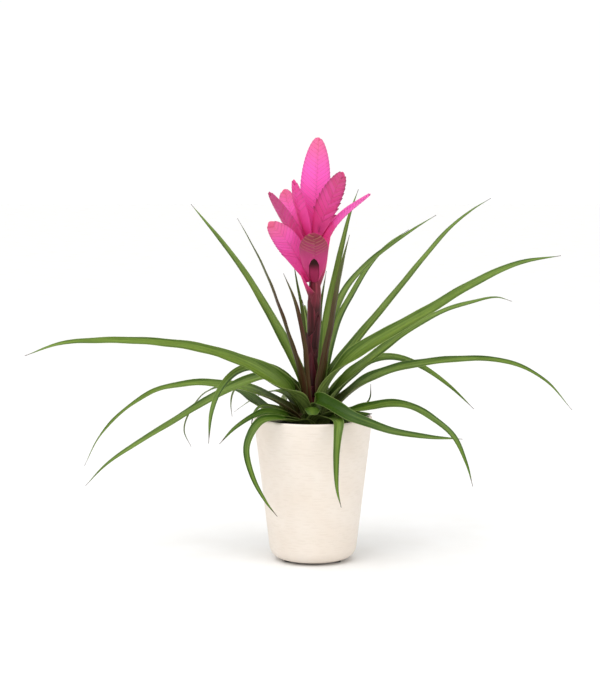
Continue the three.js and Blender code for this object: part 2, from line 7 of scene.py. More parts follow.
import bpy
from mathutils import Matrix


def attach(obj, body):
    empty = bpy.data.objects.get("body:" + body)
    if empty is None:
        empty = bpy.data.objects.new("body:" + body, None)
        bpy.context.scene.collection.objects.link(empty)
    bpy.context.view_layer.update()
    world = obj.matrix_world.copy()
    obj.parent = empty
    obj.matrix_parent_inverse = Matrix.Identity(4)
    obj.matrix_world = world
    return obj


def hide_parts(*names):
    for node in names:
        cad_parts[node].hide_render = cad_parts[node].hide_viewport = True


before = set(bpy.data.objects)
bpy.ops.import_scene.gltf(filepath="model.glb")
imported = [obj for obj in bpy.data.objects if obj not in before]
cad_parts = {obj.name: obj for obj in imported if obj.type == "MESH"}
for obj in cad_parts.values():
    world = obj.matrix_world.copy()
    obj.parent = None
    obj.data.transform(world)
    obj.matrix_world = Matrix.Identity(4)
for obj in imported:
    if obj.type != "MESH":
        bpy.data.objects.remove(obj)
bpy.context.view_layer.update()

import math
import random

import bmesh
import bpy
import numpy as np
from bpy.props import FloatProperty, FloatVectorProperty, IntProperty, PointerProperty
from bpy.types import Operator, Panel, PropertyGroup
from mathutils import Vector, noise

bl_info = {
    "name": "Potted Quill Bromeliad",
    "version": (1, 0, 0),
    "blender": (4, 5, 0),
    "location": "3D View > Sidebar > Bromeliad",
    "description": "Builds a flowering quill bromeliad in its pot around a CAD frame",
    "category": "Add Mesh",
}

MM = 0.001
BODY = "root"
UP = np.array((0.0, 0.0, 1.0))
FRONT = np.array((0.0, -1.0, 0.0))
BACK = np.array((0.0, 1.0, 0.0))

# ---------- the plant's plan, as the CAD frame has it ----------

# The short stem: (radius, height).
CROWN = (
    (8, 112), (13, 119), (15.3, 128), (15.3, 138), (13.2, 145), (10.4, 152), (7.8, 157), (5.4, 159),
)

# Each leaf: height where it leaves the stem, width, how far its face is turned to the
# front, its habit, and its middle line.
LEAVES = {
    "leaf_left_1": (149, 17, 0.55, "broad", (
        (-20, -16, 168), (-36, -25, 183), (-63, -37, 202), (-106, -62, 221), (-157, -92, 232),
        (-205, -118, 236), (-239, -136, 235), (-270, -149, 225)
    )),
    "leaf_left_2": (143, 14, 0.5, "flushed", (
        (-24, 5, 151), (-46, 18, 163), (-76, 42, 170), (-122, 76, 170), (-169, 108, 157),
        (-209, 130, 128), (-232, 142, 101), (-248, 148, 70)
    )),
    "leaf_left_3": (151, 14, 0.5, "fresh", (
        (-21, 13, 175), (-42, 17, 184), (-66, 18, 180), (-105, 12, 162), (-143, 2, 140),
        (-181, -10, 118), (-208, -20, 100), (-228, -28, 80)
    )),
    "leaf_left_4": (153, 13, 0.6, "grey", (
        (-19, 0, 177), (-37, 0, 190), (-58, -8, 197), (-76, -28, 195), (-91, -56, 182),
        (-99, -82, 162), (-101, -104, 135)
    )),
    "leaf_left_5": (137, 14, 0.3, "dark", (
        (-27, 12, 143), (-45, 22, 148), (-59, 40, 155), (-73, 62, 162), (-92, 86, 165),
        (-116, 110, 154), (-134, 127, 127), (-138, 133, 110), (-131, 136, 93)
    )),
    "leaf_left_6": (148, 9, 0.2, "grey", (
        (-17, 28, 167), (-44, 66, 175), (-71, 108, 167), (-85, 134, 153), (-88, 144, 138),
        (-87, 148, 124)
    )),
    "leaf_left_7": (141, 8, 0.2, "grey", (
        (-19, 20, 157), (-34, 38, 166), (-53, 64, 160), (-69, 84, 148), (-83, 102, 136)
    )),
    "leaf_left_8": (140, 7, 0.3, "grey", (
        (-25, -9, 150), (-40, -16, 158), (-51, -22, 160), (-58, -28, 155), (-62, -36, 141)
    )),
    "leaf_left_9": (136, 10, 0.5, "dark", (
        (-24, -22, 148), (-45, -38, 156), (-59, -54, 154), (-76, -74, 146), (-91, -95, 133)
    )),
    "leaf_left_10": (133, 12, 0.4, "shaded", (
        (-15, -22, 143), (-24, -36, 146), (-38, -50, 151), (-52, -66, 150), (-61, -79, 140.5),
        (-65, -89, 126), (-59, -98, 102), (-46, -103, 78), (-35, -106, 64)
    )),
    "leaf_upright_1": (155, 13, 0.5, "fresh", (
        (-14, 9, 186), (-30, 22, 221), (-46, 37, 249), (-68, 58, 284), (-92, 79, 315),
        (-128, 108, 356)
    )),
    "leaf_upright_2": (155, 12, 0.4, "bronze", (
        (-12, -11, 186), (-22, -28, 222), (-33, -50, 259), (-47, -78, 299), (-61, -102, 330),
        (-72, -121, 352)
    )),
    "leaf_upright_3": (156, 10, 0.3, "crimson", (
        (-5, -14, 185), (-8, -28, 217), (-13, -44, 246), (-18, -59, 268), (-29, -82, 297)
    )),
    "leaf_upright_4": (156, 7, 0.3, "dusky", (
        (-6, 12, 186), (-8, 22, 217), (-11, 32, 251), (-16, 44, 277), (-20, 55, 299)
    )),
    "leaf_upright_5": (156, 5, 0.2, "dusky", (
        (-1, 13, 189), (-2, 26, 221), (-5, 36, 240), (-11, 48, 260)
    )),
    "leaf_upright_6": (155, 7, 0.2, "dusky", (
        (5, 13, 186), (7, 26, 221), (8, 40, 252), (14, 59, 289)
    )),
    "leaf_upright_7": (155, 12, 0.5, "fresh", (
        (10, 8, 185), (12, 19, 216), (15, 32, 246), (22, 48, 280), (30, 65, 314),
        (39, 82, 348), (48, 96, 372)
    )),
    "leaf_upright_8": (156, 13, 0.4, "bronze", (
        (8, -12, 184), (13, -24, 214), (17, -36, 237), (23, -59, 279), (28, -78, 308),
        (34, -98, 335)
    )),
    "leaf_right_1": (151, 12, 0.5, "fresh", (
        (8, 20, 181), (14, 38, 217), (23, 61, 247), (36, 80, 271), (59, 102, 295),
        (84, 120, 313), (109, 134, 329), (133, 144, 343)
    )),
    "leaf_right_2": (147, 12, 0.5, "fresh", (
        (9, 26, 172), (16, 54, 205), (27, 84, 236), (41, 106, 260), (61, 129, 290),
        (82, 143, 312), (104, 150, 327)
    )),
    "leaf_right_3": (153, 12, 0.45, "flushed", (
        (14, 6, 178), (28, 12, 201), (51, 25, 229), (81, 44, 263), (114, 66, 301),
        (142, 85, 331), (167, 100, 350), (188, 112, 362)
    )),
    "leaf_right_4": (153, 19, 0.6, "fresh", (
        (14, -9, 176), (26, -14, 195), (47, -20, 215), (73, -26, 232), (112, -36, 256),
        (154, -46, 283), (199, -56, 305), (240, -64, 313)
    )),
    "leaf_right_5": (148, 14, 0.45, "fresh", (
        (20, 2, 165), (36, 4, 185), (59, 8, 204), (91, 13, 228), (127, 18, 249),
        (160, 21, 260), (187, 22, 265), (202, 21, 261)
    )),
    "leaf_right_6": (146, 12, 0.85, "grey", (
        (19, 25, 162), (39, 52, 182), (60, 80, 194), (88, 108, 194), (118, 130, 181),
        (149, 144, 158), (176, 150, 132)
    )),
    "leaf_right_7": (142, 14, 0.5, "flushed", (
        (22, 8, 153), (38, 15, 168), (59, 27, 181), (88, 44, 190), (128, 60, 195),
        (172, 75, 196), (210, 86, 190), (246, 92, 171), (275, 95, 139)
    )),
    "leaf_right_8": (141, 14, 0.5, "shaded", (
        (22, -13, 149), (37, -24, 154), (53, -36, 159), (76, -54, 166), (96, -74, 166),
        (115, -96, 158), (134, -117, 143), (145, -133, 119), (150, -141, 100)
    )),
    "leaf_right_9": (150, 16, 0.5, "turning", (
        (3.7, -20, 164), (13, -33, 163), (24, -48, 159.5), (36, -59, 154.5), (52, -64, 149),
        (76, -70, 142), (110, -82, 138), (144, -90, 137)
    )),
    "leaf_right_10": (138, 12, 0.1, "fresh", (
        (9, -20, 145), (16, -38, 149), (22, -55, 150.5), (24.5, -64, 148.5), (23.5, -72, 139),
        (22, -80, 115), (23, -84, 86), (27, -86, 69)
    )),
    "leaf_right_11": (137, 5, 0.2, "grey", (
        (20, 12, 146), (33, 20, 149), (51, 33, 151), (59, 42, 159), (60, 46, 173)
    )),
    "leaf_right_12": (134, 14, 0.8, "stub", (
        (25, 1, 144.5), (42, 2, 147.2), (60, 3, 148.2)
    )),
    "leaf_front_1": (144, 17, 0, "blunt", (
        (-1, -24, 157), (-0.8, -38, 160.3), (-0.8, -53, 155.5)
    )),
    "leaf_back_1": (140, 13, 0, "fresh", (
        (3, 26, 152), (8, 50, 166), (12, 84, 163), (15, 116, 140), (16, 138, 104),
        (15, 148, 68)
    )),
    "leaf_back_2": (135, 12, 0, "dark", (
        (-12, 32, 148), (-22, 60, 159), (-30, 94, 150), (-35, 124, 120), (-37, 140, 82)
    )),
    "leaf_back_3": (136, 12, 0, "fresh", (
        (14, 32, 147), (20, 62, 157), (27, 94, 144), (32, 122, 112), (34, 136, 72)
    )),
    "leaf_back_4": (145, 12, 0, "flushed", (
        (-2, 22, 170), (-5, 48, 212), (-8, 82, 241), (-10, 116, 248), (-11, 148, 234)
    )),
}

# A leaf's habit. shade: pale 0 to dark 1, partly its own green and partly painted shade.
# painted_light_end: how much paler its outer half is, as painted light.
# flush: purple-brown at its foot, which fades over flush_mm. red: how crimson that is.
# green_middle: how much weaker it is along the middle. under: purple-brown of its
# underside. dry: length of its dry tip. swell: how much wider its foot is than its blade.
# clasp: how far its sheath reaches round the stem. turned: share of its length over which
# it turns to its own attitude. opens: length over which it opens to its full width.
# arched: hollow below, with a blunt tip and no midrib.
LEAF_HABIT = dict(
    shade=0.3, painted_light_end=0.0, flush=0.15, flush_mm=35, red=0.1, green_middle=0.0, under=0.0,
    dry=9, swell=0.35, clasp=1.0, turned=0.3, opens=34, arched=False,
)
UPRIGHT = dict(dry=16, swell=0.0, clasp=0.33, green_middle=0.4)
LEAF_HABITS = {
    "fresh": dict(),
    "broad": dict(shade=0.18, flush=0.1, swell=1.0, turned=0.17),
    "flushed": dict(flush=0.75, flush_mm=65, red=0.15, under=0.2, dry=11),
    "bronze": dict(UPRIGHT, shade=0.45, flush=1.1, flush_mm=330, red=0.35, under=0.75),
    "crimson": dict(UPRIGHT, shade=0.7, flush=1.5, flush_mm=330, red=0.7, under=0.8, swell=-0.5),
    "dusky": dict(UPRIGHT, shade=0.95, flush=0.75, flush_mm=260, red=0.2, under=0.6),
    "dark": dict(shade=0.85, flush=0.2, flush_mm=40, under=0.05, dry=14),
    "shaded": dict(shade=0.5, flush=0.1, flush_mm=40, dry=12),
    # Painted shade and light: a turning leaf is darkened for how it faces the light, and paled over
    # its outer half.
    "turning": dict(shade=1.15, painted_light_end=0.7, flush=0.0, red=0.0, dry=12, turned=0.1, opens=14),
    "grey": dict(shade=0.5, flush=0.5, flush_mm=60, red=0.2, under=0.35, dry=16),
    "blunt": dict(shade=0.8, flush=0.0, red=0.0, dry=0, swell=0.0, opens=14, arched=True),
    "stub": dict(shade=1.0, flush=0.3, flush_mm=30, under=0.1, dry=5, swell=0.0),
}

# The flower stalk's middle line and its radius at each point.
STALK = ((-2, 0, 159.4), (-1.6, 0, 185), (0, 0, 224), (1.2, 0, 262), (1, 0, 290), (0, 0, 331))
STALK_RADII = (4.8, 5, 5.7, 6, 4.6, 2.8)

# Each quill: height of its foot on the stalk, width, where it is broadest, thickness, the
# way its back faces, how far its back is turned to the front, its middle line, how dull it
# is, how coral its tip is, the share of it that its lowest two bracts cover, and how deep
# its pink is. The top one has no foot on the stalk's side: it ends the stalk.
QUILLS = {
    "quill_top": (
        None, 30, 0.5, 9, (0, -1), 0,
        ((2, 1, 375), (5.2, 3, 427)), 0.04, 0.8, 0.34, 0,
    ),
    "quill_upper_right": (
        325, 22, 0.55, 8, (0.45, -0.9), 0.85,
        ((14.4, -17, 361.7), (22.6, -24, 379.2), (29.1, -30, 393.3)), 0.42, 0.3, 0.42, 0.6,
    ),
    "quill_upper_left": (
        323, 19, 0.5, 7, (-0.8, -0.6), 0,
        ((-13.5, -14, 362), (-19.3, -22, 385.8)), 0.1, 0.1, 0.62, 0.55,
    ),
    "quill_rear_left": (
        314, 21, 0.65, 7, (-0.6, 0.8), 0.8,
        ((-16.2, 14, 338.8), (-24.8, 24, 358.5), (-29.1, 30, 374.5)), 0.15, 0.75, 0.3, 0.1,
    ),
    "quill_left": (
        304, 21, 0.5, 9, (-1, -0.15), 0.35,
        ((-24.1, -5, 342.8), (-44.1, -9, 373.2)), 0.62, 0.15, 0.5, 0.4,
    ),
    "quill_lower_left": (
        284, 24, 0.6, 8, (-0.78, -0.62), 0.85,
        ((-16.6, -14, 309.9), (-29, -24, 328.2), (-43.9, -33, 344.3)), 0.05, 0.8, 0.5, 0.25,
    ),
    "quill_right": (
        286, 16, 0.45, 8, (1, 0.1), 0.3,
        ((10, 1.5, 315), (15, 2, 331.9), (29.2, 4, 349.5), (57.6, 6, 370.7)), 0.0, 0.3, 0.5, 0.0,
    ),
    "quill_front": (
        284, 29, 0.66, 9, (0, -1), 0,
        ((0.7, -27, 310.2), (0.1, -46, 334)), 1, 0.05, 0.72, 0.6,
    ),
    "quill_rear": (
        292, 20, 0.5, 7, (-0.15, 1), 0,
        ((-4, 28, 334), (-7, 46, 366)), 0.1, 0.5, 0.3, 0.3,
    ),
    "quill_rear_right": (
        306, 19, 0.5, 7, (0.3, 0.95), 0,
        ((7, 24, 347), (11, 39, 377)), 0.15, 0.5, 0.3, 0.3,
    ),
}

# How a quill's bracts lie. chevron: how steeply their tips fall away from its middle.
# closeness: their step, as a share of the usual one. opening: how much longer the step is
# low down. toothed: how far their keels stand out at its edges, and crimson: how dark those
# are, partly their own dark red and partly painted shadow at the teeth. bare: length of its
# foot without bracts. bright: how far up its colour starts.
# deepened: how much deeper its low half's pink is.
QUILL_HABIT = dict(
    chevron=1.0, closeness=0.8, opening=1.8, toothed=1.2, crimson=0.25, bare=0.0, bright=0.0,
    deepened=0.3,
)
QUILL_HABITS = {
    # The top quill is full pink down to its foot, as painted light on a foot that lies in the other
    # quills' shade.
    "quill_top": dict(
        closeness=0.95, opening=1.3, toothed=1.0, crimson=0.3, bright=0.85, deepened=0.0
    ),
    "quill_upper_right": dict(
        chevron=1.25, closeness=0.75, opening=3.6, toothed=5.0, crimson=0.6, bright=0.45,
        deepened=0.1,
    ),
    "quill_upper_left": dict(opening=2.4, bright=0.25, deepened=0.1),
    "quill_right": dict(bright=0.3, deepened=1.0),
    "quill_front": dict(
        chevron=0.62, closeness=0.9, opening=0.9, toothed=0.5, crimson=0.15, bare=35.0,
        deepened=0.1,
    ),
}

# Each bract: height of its foot on the stalk, width, radius that it is rolled to, the way
# its back faces and its middle line.
QUILL_BRACTS = {
    "quill_bract_lower_left": (268, 12, 9, (-1, -0.4), ((-8.8, -9, 281), (-13.5, -15.5, 294))),
    "quill_bract_left": (292, 13, 8, (-1, -0.15), ((-13, -3, 305), (-19, -4.5, 315))),
    "quill_bract_right": (
        276, 14, 9, (0.9, -0.45), ((11.5, -7, 294), (14.5, -13.5, 316), (17.3, -18, 334))
    ),
}
# The same for the stalk's own bracts, and how pink each is, 0 to 1.
STALK_BRACTS = {
    "stalk_bract_1": (178, 13, 6.4, (-0.3, -1), ((-3.2, -6, 196), (-2.6, -6.5, 212)), 0.3),
    "stalk_bract_2": (216, 13, 7, (0.8, -0.6), ((6, -4.4, 233), (6.7, -4.8, 250)), 0.12),
    "stalk_bract_3": (252, 13, 7, (0.2, -1), ((2.6, -7.1, 262), (2.8, -7.6, 273)), 0.6),
}
# The same for the sheaths that wrap the stalk between those bracts.
STALK_SHEATHS = {
    "stalk_sheath_1": (166, 20, 6.2, (0.6, 0.8), ((2.5, 5.2, 186), (2.8, 5.0, 204)), 0.6),
    "stalk_sheath_2": (192, 20, 6.5, (-0.9, -0.35), ((-6.6, -2.3, 212), (-6.3, -2.3, 232)), 0.05),
    "stalk_sheath_3": (206, 20, 6.8, (-0.2, 1), ((-1.0, 6.2, 226), (-0.8, 6.4, 246)), 0.05),
    "stalk_sheath_4": (232, 20, 7.0, (-0.8, -0.6), ((-4.5, -4.4, 250), (-4.6, -4.5, 266)), 0.25),
    "stalk_sheath_5": (240, 20, 7.0, (0.75, 0.65), ((6.1, 4.4, 256), (6.3, 4.6, 272)), 0.25),
    "stalk_sheath_6": (256, 22, 7.2, (0.3, -0.95), ((3.4, -6.9, 270), (3.0, -6.6, 286)), 0.9),
}

# The cover pot: its outside radii, the fillets in and on its foot, and its wall and floor.
POT_UNDERSIDE = 1.5
POT_HEIGHT = 146.4
POT_RIM_RADIUS = 60
POT_FOOT_RADIUS = 44.4
POT_FOOT_FILLET = 14
POT_WALL = 4
POT_FLOOR = 6
POT_INSIDE_FILLET = 8

# The nursery pot's inside at its floor and at its top, as (radius, height), and how high
# the growing medium stands in it at its edge and at its middle, where the stem's mouth is.
NURSERY_FLOOR = (31.0, 9.6)
NURSERY_TOP = (49.2, 135)
NURSERY_CLEARANCE = 0.3
MEDIUM_EDGE = 127
MEDIUM_MIDDLE = 131
MEDIUM_MOUTH = 15.9

PAD_RADIUS = 4.5
PAD_THICKNESS = 1.5
PAD_CIRCLE = 28
PAD_FIRST_ANGLE = -32

# ---------- settings a user would change ----------


def paint(hex_colour):
    """The linear colour of an sRGB hex value, with alpha."""
    parts = [int(hex_colour[i : i + 2], 16) / 255 for i in (1, 3, 5)]
    return (*(c / 12.92 if c <= 0.04045 else ((c + 0.055) / 1.055) ** 2.4 for c in parts), 1.0)


def colour_setting(name, description, hex_colour):
    return FloatVectorProperty(
        name=name, description=description, subtype="COLOR", size=4, min=0, max=1,
        default=paint(hex_colour),
    )


def length_setting(name, description, millimetres):
    return FloatProperty(
        name=name, description=description, unit="LENGTH", min=0, default=millimetres * MM
    )


class PotSettings(PropertyGroup):
    glaze: colour_setting("Glaze", "Colour of the cover pot's glaze", "#EAE0D5")
    relief: length_setting("Relief", "Depth of the dashes pressed into the cover pot", 0.22)
    dash_row: length_setting("Dash rows", "Height from one row of dashes to the next", 2.3)
    peat: colour_setting("Peat", "Colour of the moist growing medium", "#33231A")
    crumbs: IntProperty(
        name="Crumbs", description="Loose crumbs lying on the growing medium", min=0, default=340
    )


class LeafSettings(PropertyGroup):
    fresh: colour_setting("Fresh green", "Colour of a leaf in full light", "#7D963C")
    deep: colour_setting("Deep green", "Colour of the dark streaks in a leaf", "#2C4A02")
    flush: colour_setting("Flush", "Purple-brown of the leaf bases and undersides", "#3A1F14")
    tip: colour_setting("Dry tip", "Colour of a leaf's dry tip", "#4C3A33")
    thickness: length_setting("Thickness", "Thickness of a leaf near its middle", 0.75)
    channel: length_setting("Channel", "Radius that a leaf is rolled to across its width", 8.5)
    edge_wave: length_setting("Edge wave", "Height of the slow waves along a leaf's edges", 0.7)


class FlowerSettings(PropertyGroup):
    pink: colour_setting("Pink", "Colour of a quill's bracts in full light", "#FF64C8")
    deep_pink: colour_setting("Deep pink", "Colour towards the foot of a quill", "#DC2A7C")
    coral: colour_setting("Coral", "Colour of the tips of the quills", "#E16F84")
    dull: colour_setting("Dull", "Colour of the fading bracts", "#8C3647")
    stalk: colour_setting("Stalk", "Colour of the flower stalk", "#49191C")
    bract_spacing: length_setting("Bract spacing", "Step from one bract to the next", 4.3)
    bract_thickness: length_setting("Bract thickness", "Thickness of one bract", 0.32)


class StageSettings(PropertyGroup):
    floor: colour_setting("Floor", "Colour of the floor", "#F7F7F7")
    key_watts: FloatProperty(
        name="Key light", description="Power of the large soft lamp", unit="POWER", default=12
    )
    fill_watts: FloatProperty(
        name="Fill light", description="Power of the second lamp", unit="POWER", default=8
    )
    overhead: FloatProperty(
        name="Overhead light", description="Strength of the even light overhead", default=1.9
    )
    sky: FloatProperty(
        name="Room light", description="Brightness of the white room overhead", default=0.52
    )


# ---------- shaping ----------


def plan_direction(x, y):
    """The unit vector that points that way in plan."""
    return np.array((x, y, 0.0)) / math.hypot(x, y)


def unit(vectors):
    return vectors / np.linalg.norm(vectors, axis=-1, keepdims=True)


def ease(x, start, end):
    """0 before start, 1 after end, and smooth between."""
    t = np.clip((np.asarray(x, float) - start) / (end - start), 0, 1)
    return t * t * (3 - 2 * t)


def mix(first, second, share):
    return first + (second - first) * share


def bump_at(x, width):
    """1 where x is 0, falling off smoothly to nothing over about twice the width."""
    return np.exp(-((x / width) ** 2))


def vectors_of(*parts):
    """A grid of vectors from their three parts: numbers, rows, columns or grids."""
    return np.stack(np.broadcast_arrays(*parts), -1)


def crown_radius(height):
    return float(np.interp(height, [z for _, z in CROWN], [r for r, _ in CROWN]))


def stalk_radius(height):
    return float(np.interp(height, [p[2] for p in STALK], STALK_RADII))


def stalk_foot(height, heading, clearance):
    """Where something that faces that way leaves the stalk's side, that far off it."""
    reach = stalk_radius(height) + clearance
    middle = float(np.interp(height, [p[2] for p in STALK], [p[0] for p in STALK]))
    return (middle + reach * heading[0], reach * heading[1], height)


# Points between two given points of a smooth line, before it is cut into even steps.
CURVE_STEPS = 40


def smooth_line(points, count):
    """count points at even steps on the smooth curve through the given ones, and its length."""
    given = np.asarray(points, float)
    ends = 2 * given[0] - given[1], 2 * given[-1] - given[-2]
    knots = np.vstack((ends[0], given, ends[1]))
    step = np.linspace(0, 1, CURVE_STEPS, endpoint=False)[:, None]
    pieces = []
    for p0, p1, p2, p3 in zip(knots, knots[1:], knots[2:], knots[3:]):
        d0, d1, d2 = (math.sqrt(np.linalg.norm(b - a)) for a, b in ((p0, p1), (p1, p2), (p2, p3)))
        leaving = d1 * ((p1 - p0) / d0 - (p2 - p0) / (d0 + d1) + (p2 - p1) / d1)
        arriving = d1 * ((p2 - p1) / d1 - (p3 - p1) / (d1 + d2) + (p3 - p2) / d2)
        bend = 3 * (p2 - p1) - 2 * leaving - arriving
        close = 2 * (p1 - p2) + leaving + arriving
        pieces.append(p1 + leaving * step + bend * step**2 + close * step**3)
    line = np.vstack((*pieces, given[-1:]))
    travelled = np.concatenate(([0], np.cumsum(np.linalg.norm(np.diff(line, axis=0), axis=1))))
    even = np.linspace(0, travelled[-1], count)
    return np.stack([np.interp(even, travelled, line[:, k]) for k in range(3)], 1), travelled[-1]


class Ribbon:
    """A middle line with the way its width and its upper side face at each point of it.

    heading is the way that its back faces where it stands upright, and facing how far its
    upper side is turned from there to turned_to. Each is one value, or a function of the
    share of the line that lies before a point. distance and t are columns: how far along
    each point is, in millimetres and as a share.
    """

    def __init__(self, route, heading, facing, count, turned_to=FRONT):
        self.line, self.length = smooth_line(route, count)
        self.distance = np.linspace(0, self.length, count)[:, None]
        self.t = self.distance / self.length
        self.tangent = unit(np.gradient(self.line, axis=0))
        share = np.linspace(0, 1, count)[:, None]
        heading, facing = (
            value(share) if callable(value) else value for value in (heading, facing)
        )
        sideways = np.cross(UP, np.broadcast_to(heading, self.line.shape))
        upward = unit(np.cross(self.tangent, sideways))
        upward = mix(upward, turned_to, facing)
        upward -= self.tangent * np.sum(upward * self.tangent, axis=1, keepdims=True)
        self.upward = unit(upward)
        self.across = np.cross(self.tangent, self.upward)

    def place(self, distance, x, y):
        """Points at that distance along, x across and y towards the upper side."""
        line, across, upward = (
            np.stack([np.interp(distance, self.distance[:, 0], rows[:, k]) for k in range(3)], -1)
            for rows in (self.line, self.across, self.upward)
        )
        return line + across * x[..., None] + upward * y[..., None]

    def sides(self, x, y, tilt, up, down):
        """The points above and below a strip that lies at x and y and tilts that much."""
        nx, ny = -np.sin(tilt), np.cos(tilt)
        return (
            self.place(self.distance, x + nx * up, y + ny * up),
            self.place(self.distance, x - nx * down, y - ny * down),
        )


def rolled(columns, half, bend):
    """A strip rolled across its width: its points, x across and y up, and how each tilts."""
    angle = columns * (half / bend)
    return bend * np.sin(angle), bend * (1 - np.cos(angle)), angle


def shell_faces(rows, columns):
    """Faces of closed strips whose rings run over the upper side and back under it."""
    ring = 2 * columns
    start = np.arange(rows - 1)[:, None] * ring
    here = np.arange(ring)[None, :]
    a, b = start + here, start + (here + 1) % ring
    sides = np.stack((a, b, b + ring, a + ring), -1).reshape(-1, 4)
    k = np.arange(columns - 1)
    foot = np.stack((ring - 1 - k, ring - 2 - k, k + 1, k), -1)
    tip = np.stack((k, k + 1, ring - 2 - k, ring - 1 - k), -1) + (rows - 1) * ring
    return np.vstack((sides, foot, tip)).tolist()


def turned_faces(rings, segments):
    """Faces of a surface of revolution with a single point at each end of its profile."""
    start = 1 + np.arange(rings - 1)[:, None] * segments
    here = np.arange(segments)[None, :]
    a, b = start + here, start + (here + 1) % segments
    sides = np.stack((a, b, b + segments, a + segments), -1).reshape(-1, 4).tolist()
    last = 1 + (rings - 1) * segments
    around = [(j, (j + 1) % segments) for j in range(segments)]
    first_fan = [(0, 1 + k, 1 + j) for j, k in around]
    last_fan = [(last + segments, last + j, last + k) for j, k in around]
    return sides + first_fan + last_fan


def turned_points(profile, segments, relief=0.0):
    """Points of that surface from (radius, height) pairs, pushed out by relief."""
    profile = np.asarray(profile, float)
    radius, height = profile[1:-1, :1] + relief, profile[1:-1, 1:]
    angle = np.arange(segments) * (2 * math.pi / segments)
    grid = vectors_of(radius * np.cos(angle), radius * np.sin(angle), height)
    ends = np.array(((0, 0, profile[0, 1]), (0, 0, profile[-1, 1])))
    return np.vstack((ends[:1], grid.reshape(-1, 3), ends[1:]))


def fillet(radius_at, height_at, radius, from_degrees, to_degrees, steps):
    """(radius, height) pairs round an arc of a profile, from its middle and its radius."""
    angles = np.radians(np.linspace(from_degrees, to_degrees, steps + 1))
    return [(radius_at + radius * math.cos(a), height_at + radius * math.sin(a)) for a in angles]


class Shells:
    """Gathers closed shells into one mesh, with values kept at each point of it."""

    def __init__(self):
        self.points, self.faces, self.values, self.count = [], [], {}, 0

    def add(self, points, faces, **values):
        """Adds a shell. A value is one number, or a number or a vector for each point."""
        points = np.asarray(points, float).reshape(-1, 3)
        for name, value in values.items():
            value = np.asarray(value, float)
            size = (len(points), 3) if value.shape[-1:] == (3,) else (len(points),)
            value = value.reshape(size) if value.ndim else np.broadcast_to(value, size)
            self.values.setdefault(name, []).append(value)
        self.points.append(points)
        self.faces.extend([point + self.count for point in face] for face in faces)
        self.count += len(points)

    def add_strip(self, upper, lower, **values):
        """Adds a shell between two grids of points.

        A value is a number, a column or a grid, or a pair of them for the two sides.
        """
        rows, columns = upper.shape[:2]

        def around(above, below):
            above, below = (
                np.broadcast_to(side, (rows, columns, *np.shape(side)[2:]))
                for side in (above, below)
            )
            return np.concatenate((above, below[:, ::-1]), axis=1)

        doubled = {
            name: around(*value) if isinstance(value, tuple) else around(value, value)
            for name, value in values.items()
        }
        self.add(around(upper, lower), shell_faces(rows, columns), **doubled)

    def make(self, name, material, slot, *nodes):
        """Makes the mesh as a piece on the plant's body, in place of those CAD nodes."""
        mesh = bpy.data.meshes.new(name)
        mesh.from_pydata((np.vstack(self.points) * MM).tolist(), [], self.faces)
        mesh.shade_smooth()
        for key, parts in self.values.items():
            values = np.concatenate(parts).astype(np.float32)
            kind, field = ("FLOAT", "value") if values.ndim == 1 else ("FLOAT_VECTOR", "vector")
            mesh.attributes.new(key, kind, "POINT").data.foreach_set(field, values.ravel())
        mesh.materials.append(material)
        piece = place_object(name, mesh)
        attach(piece, BODY)
        if nodes:
            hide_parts(*nodes)


def place_object(name, data):
    """Puts a mesh, a lamp or a camera in the scene."""
    made = bpy.data.objects.new(name, data)
    bpy.context.scene.collection.objects.link(made)
    return made


# Seeds of each leaf's and each quill's random draws, from the first one's on.
LEAF_DRAWS, QUILL_DRAWS = 1000, 300
# Which stretch of the fibres' pattern each piece has: the step from leaf to leaf and from
# quill to quill, and the first of each other kind.
LEAF_FIBRES, QUILL_FIBRES, CORE_FIBRES = 17.0, 40.0, 3.0
STALK_FIBRES, SCALE_FIBRES, SHEATH_FIBRES, BOAT_FIBRES = 400, 500, 520, 600


# ---------- materials ----------


def connect(tree, node, inputs):
    """Links or sets a node's inputs."""
    for name, value in inputs.items():
        if isinstance(value, bpy.types.NodeSocket):
            tree.links.new(value, node.inputs[name])
        else:
            node.inputs[name].default_value = value


# The kinds of node in the finishes: type, inputs in the order that they are given in, the
# output that is used, and settings.
NODE_KINDS = {
    "number": ("ShaderNodeAttribute", (), "Fac", {}),
    "vector": ("ShaderNodeAttribute", (), "Vector", {}),
    "place": ("ShaderNodeTexCoord", (), "Object", {}),
    "direction": ("ShaderNodeTexCoord", (), "Generated", {}),
    "height": ("ShaderNodeSeparateXYZ", (0,), "Z", {}),
    "stretch": ("ShaderNodeVectorMath", (0, 1), 0, {"operation": "MULTIPLY"}),
    "noise": ("ShaderNodeTexNoise", ("Vector", "Scale", "Detail", "Roughness"), "Fac", {}),
    "remap": (
        "ShaderNodeMapRange", ("Value", "From Min", "From Max", "To Min", "To Max"), "Result", {}
    ),
    "absolute": ("ShaderNodeMath", (0,), 0, {"operation": "ABSOLUTE"}),
    "multiply": ("ShaderNodeMath", (0, 1), 0, {"operation": "MULTIPLY"}),
    "multiply and add": ("ShaderNodeMath", (0, 1, 2), 0, {"operation": "MULTIPLY_ADD"}),
    "blend": ("ShaderNodeMix", (0, 6, 7), 2, {"data_type": "RGBA"}),
    "bump": ("ShaderNodeBump", ("Strength", "Distance", "Height"), "Normal", {}),
}


def add_node(tree, kind, *inputs, **settings):
    """Adds a node, sets it up, links or sets its inputs and returns its output."""
    node_type, names, output, fixed = NODE_KINDS[kind]
    made = tree.nodes.new(node_type)
    for key, value in (fixed | settings).items():
        setattr(made, key, value)
    connect(tree, made, dict(zip(names, inputs)))
    return made.outputs[output]


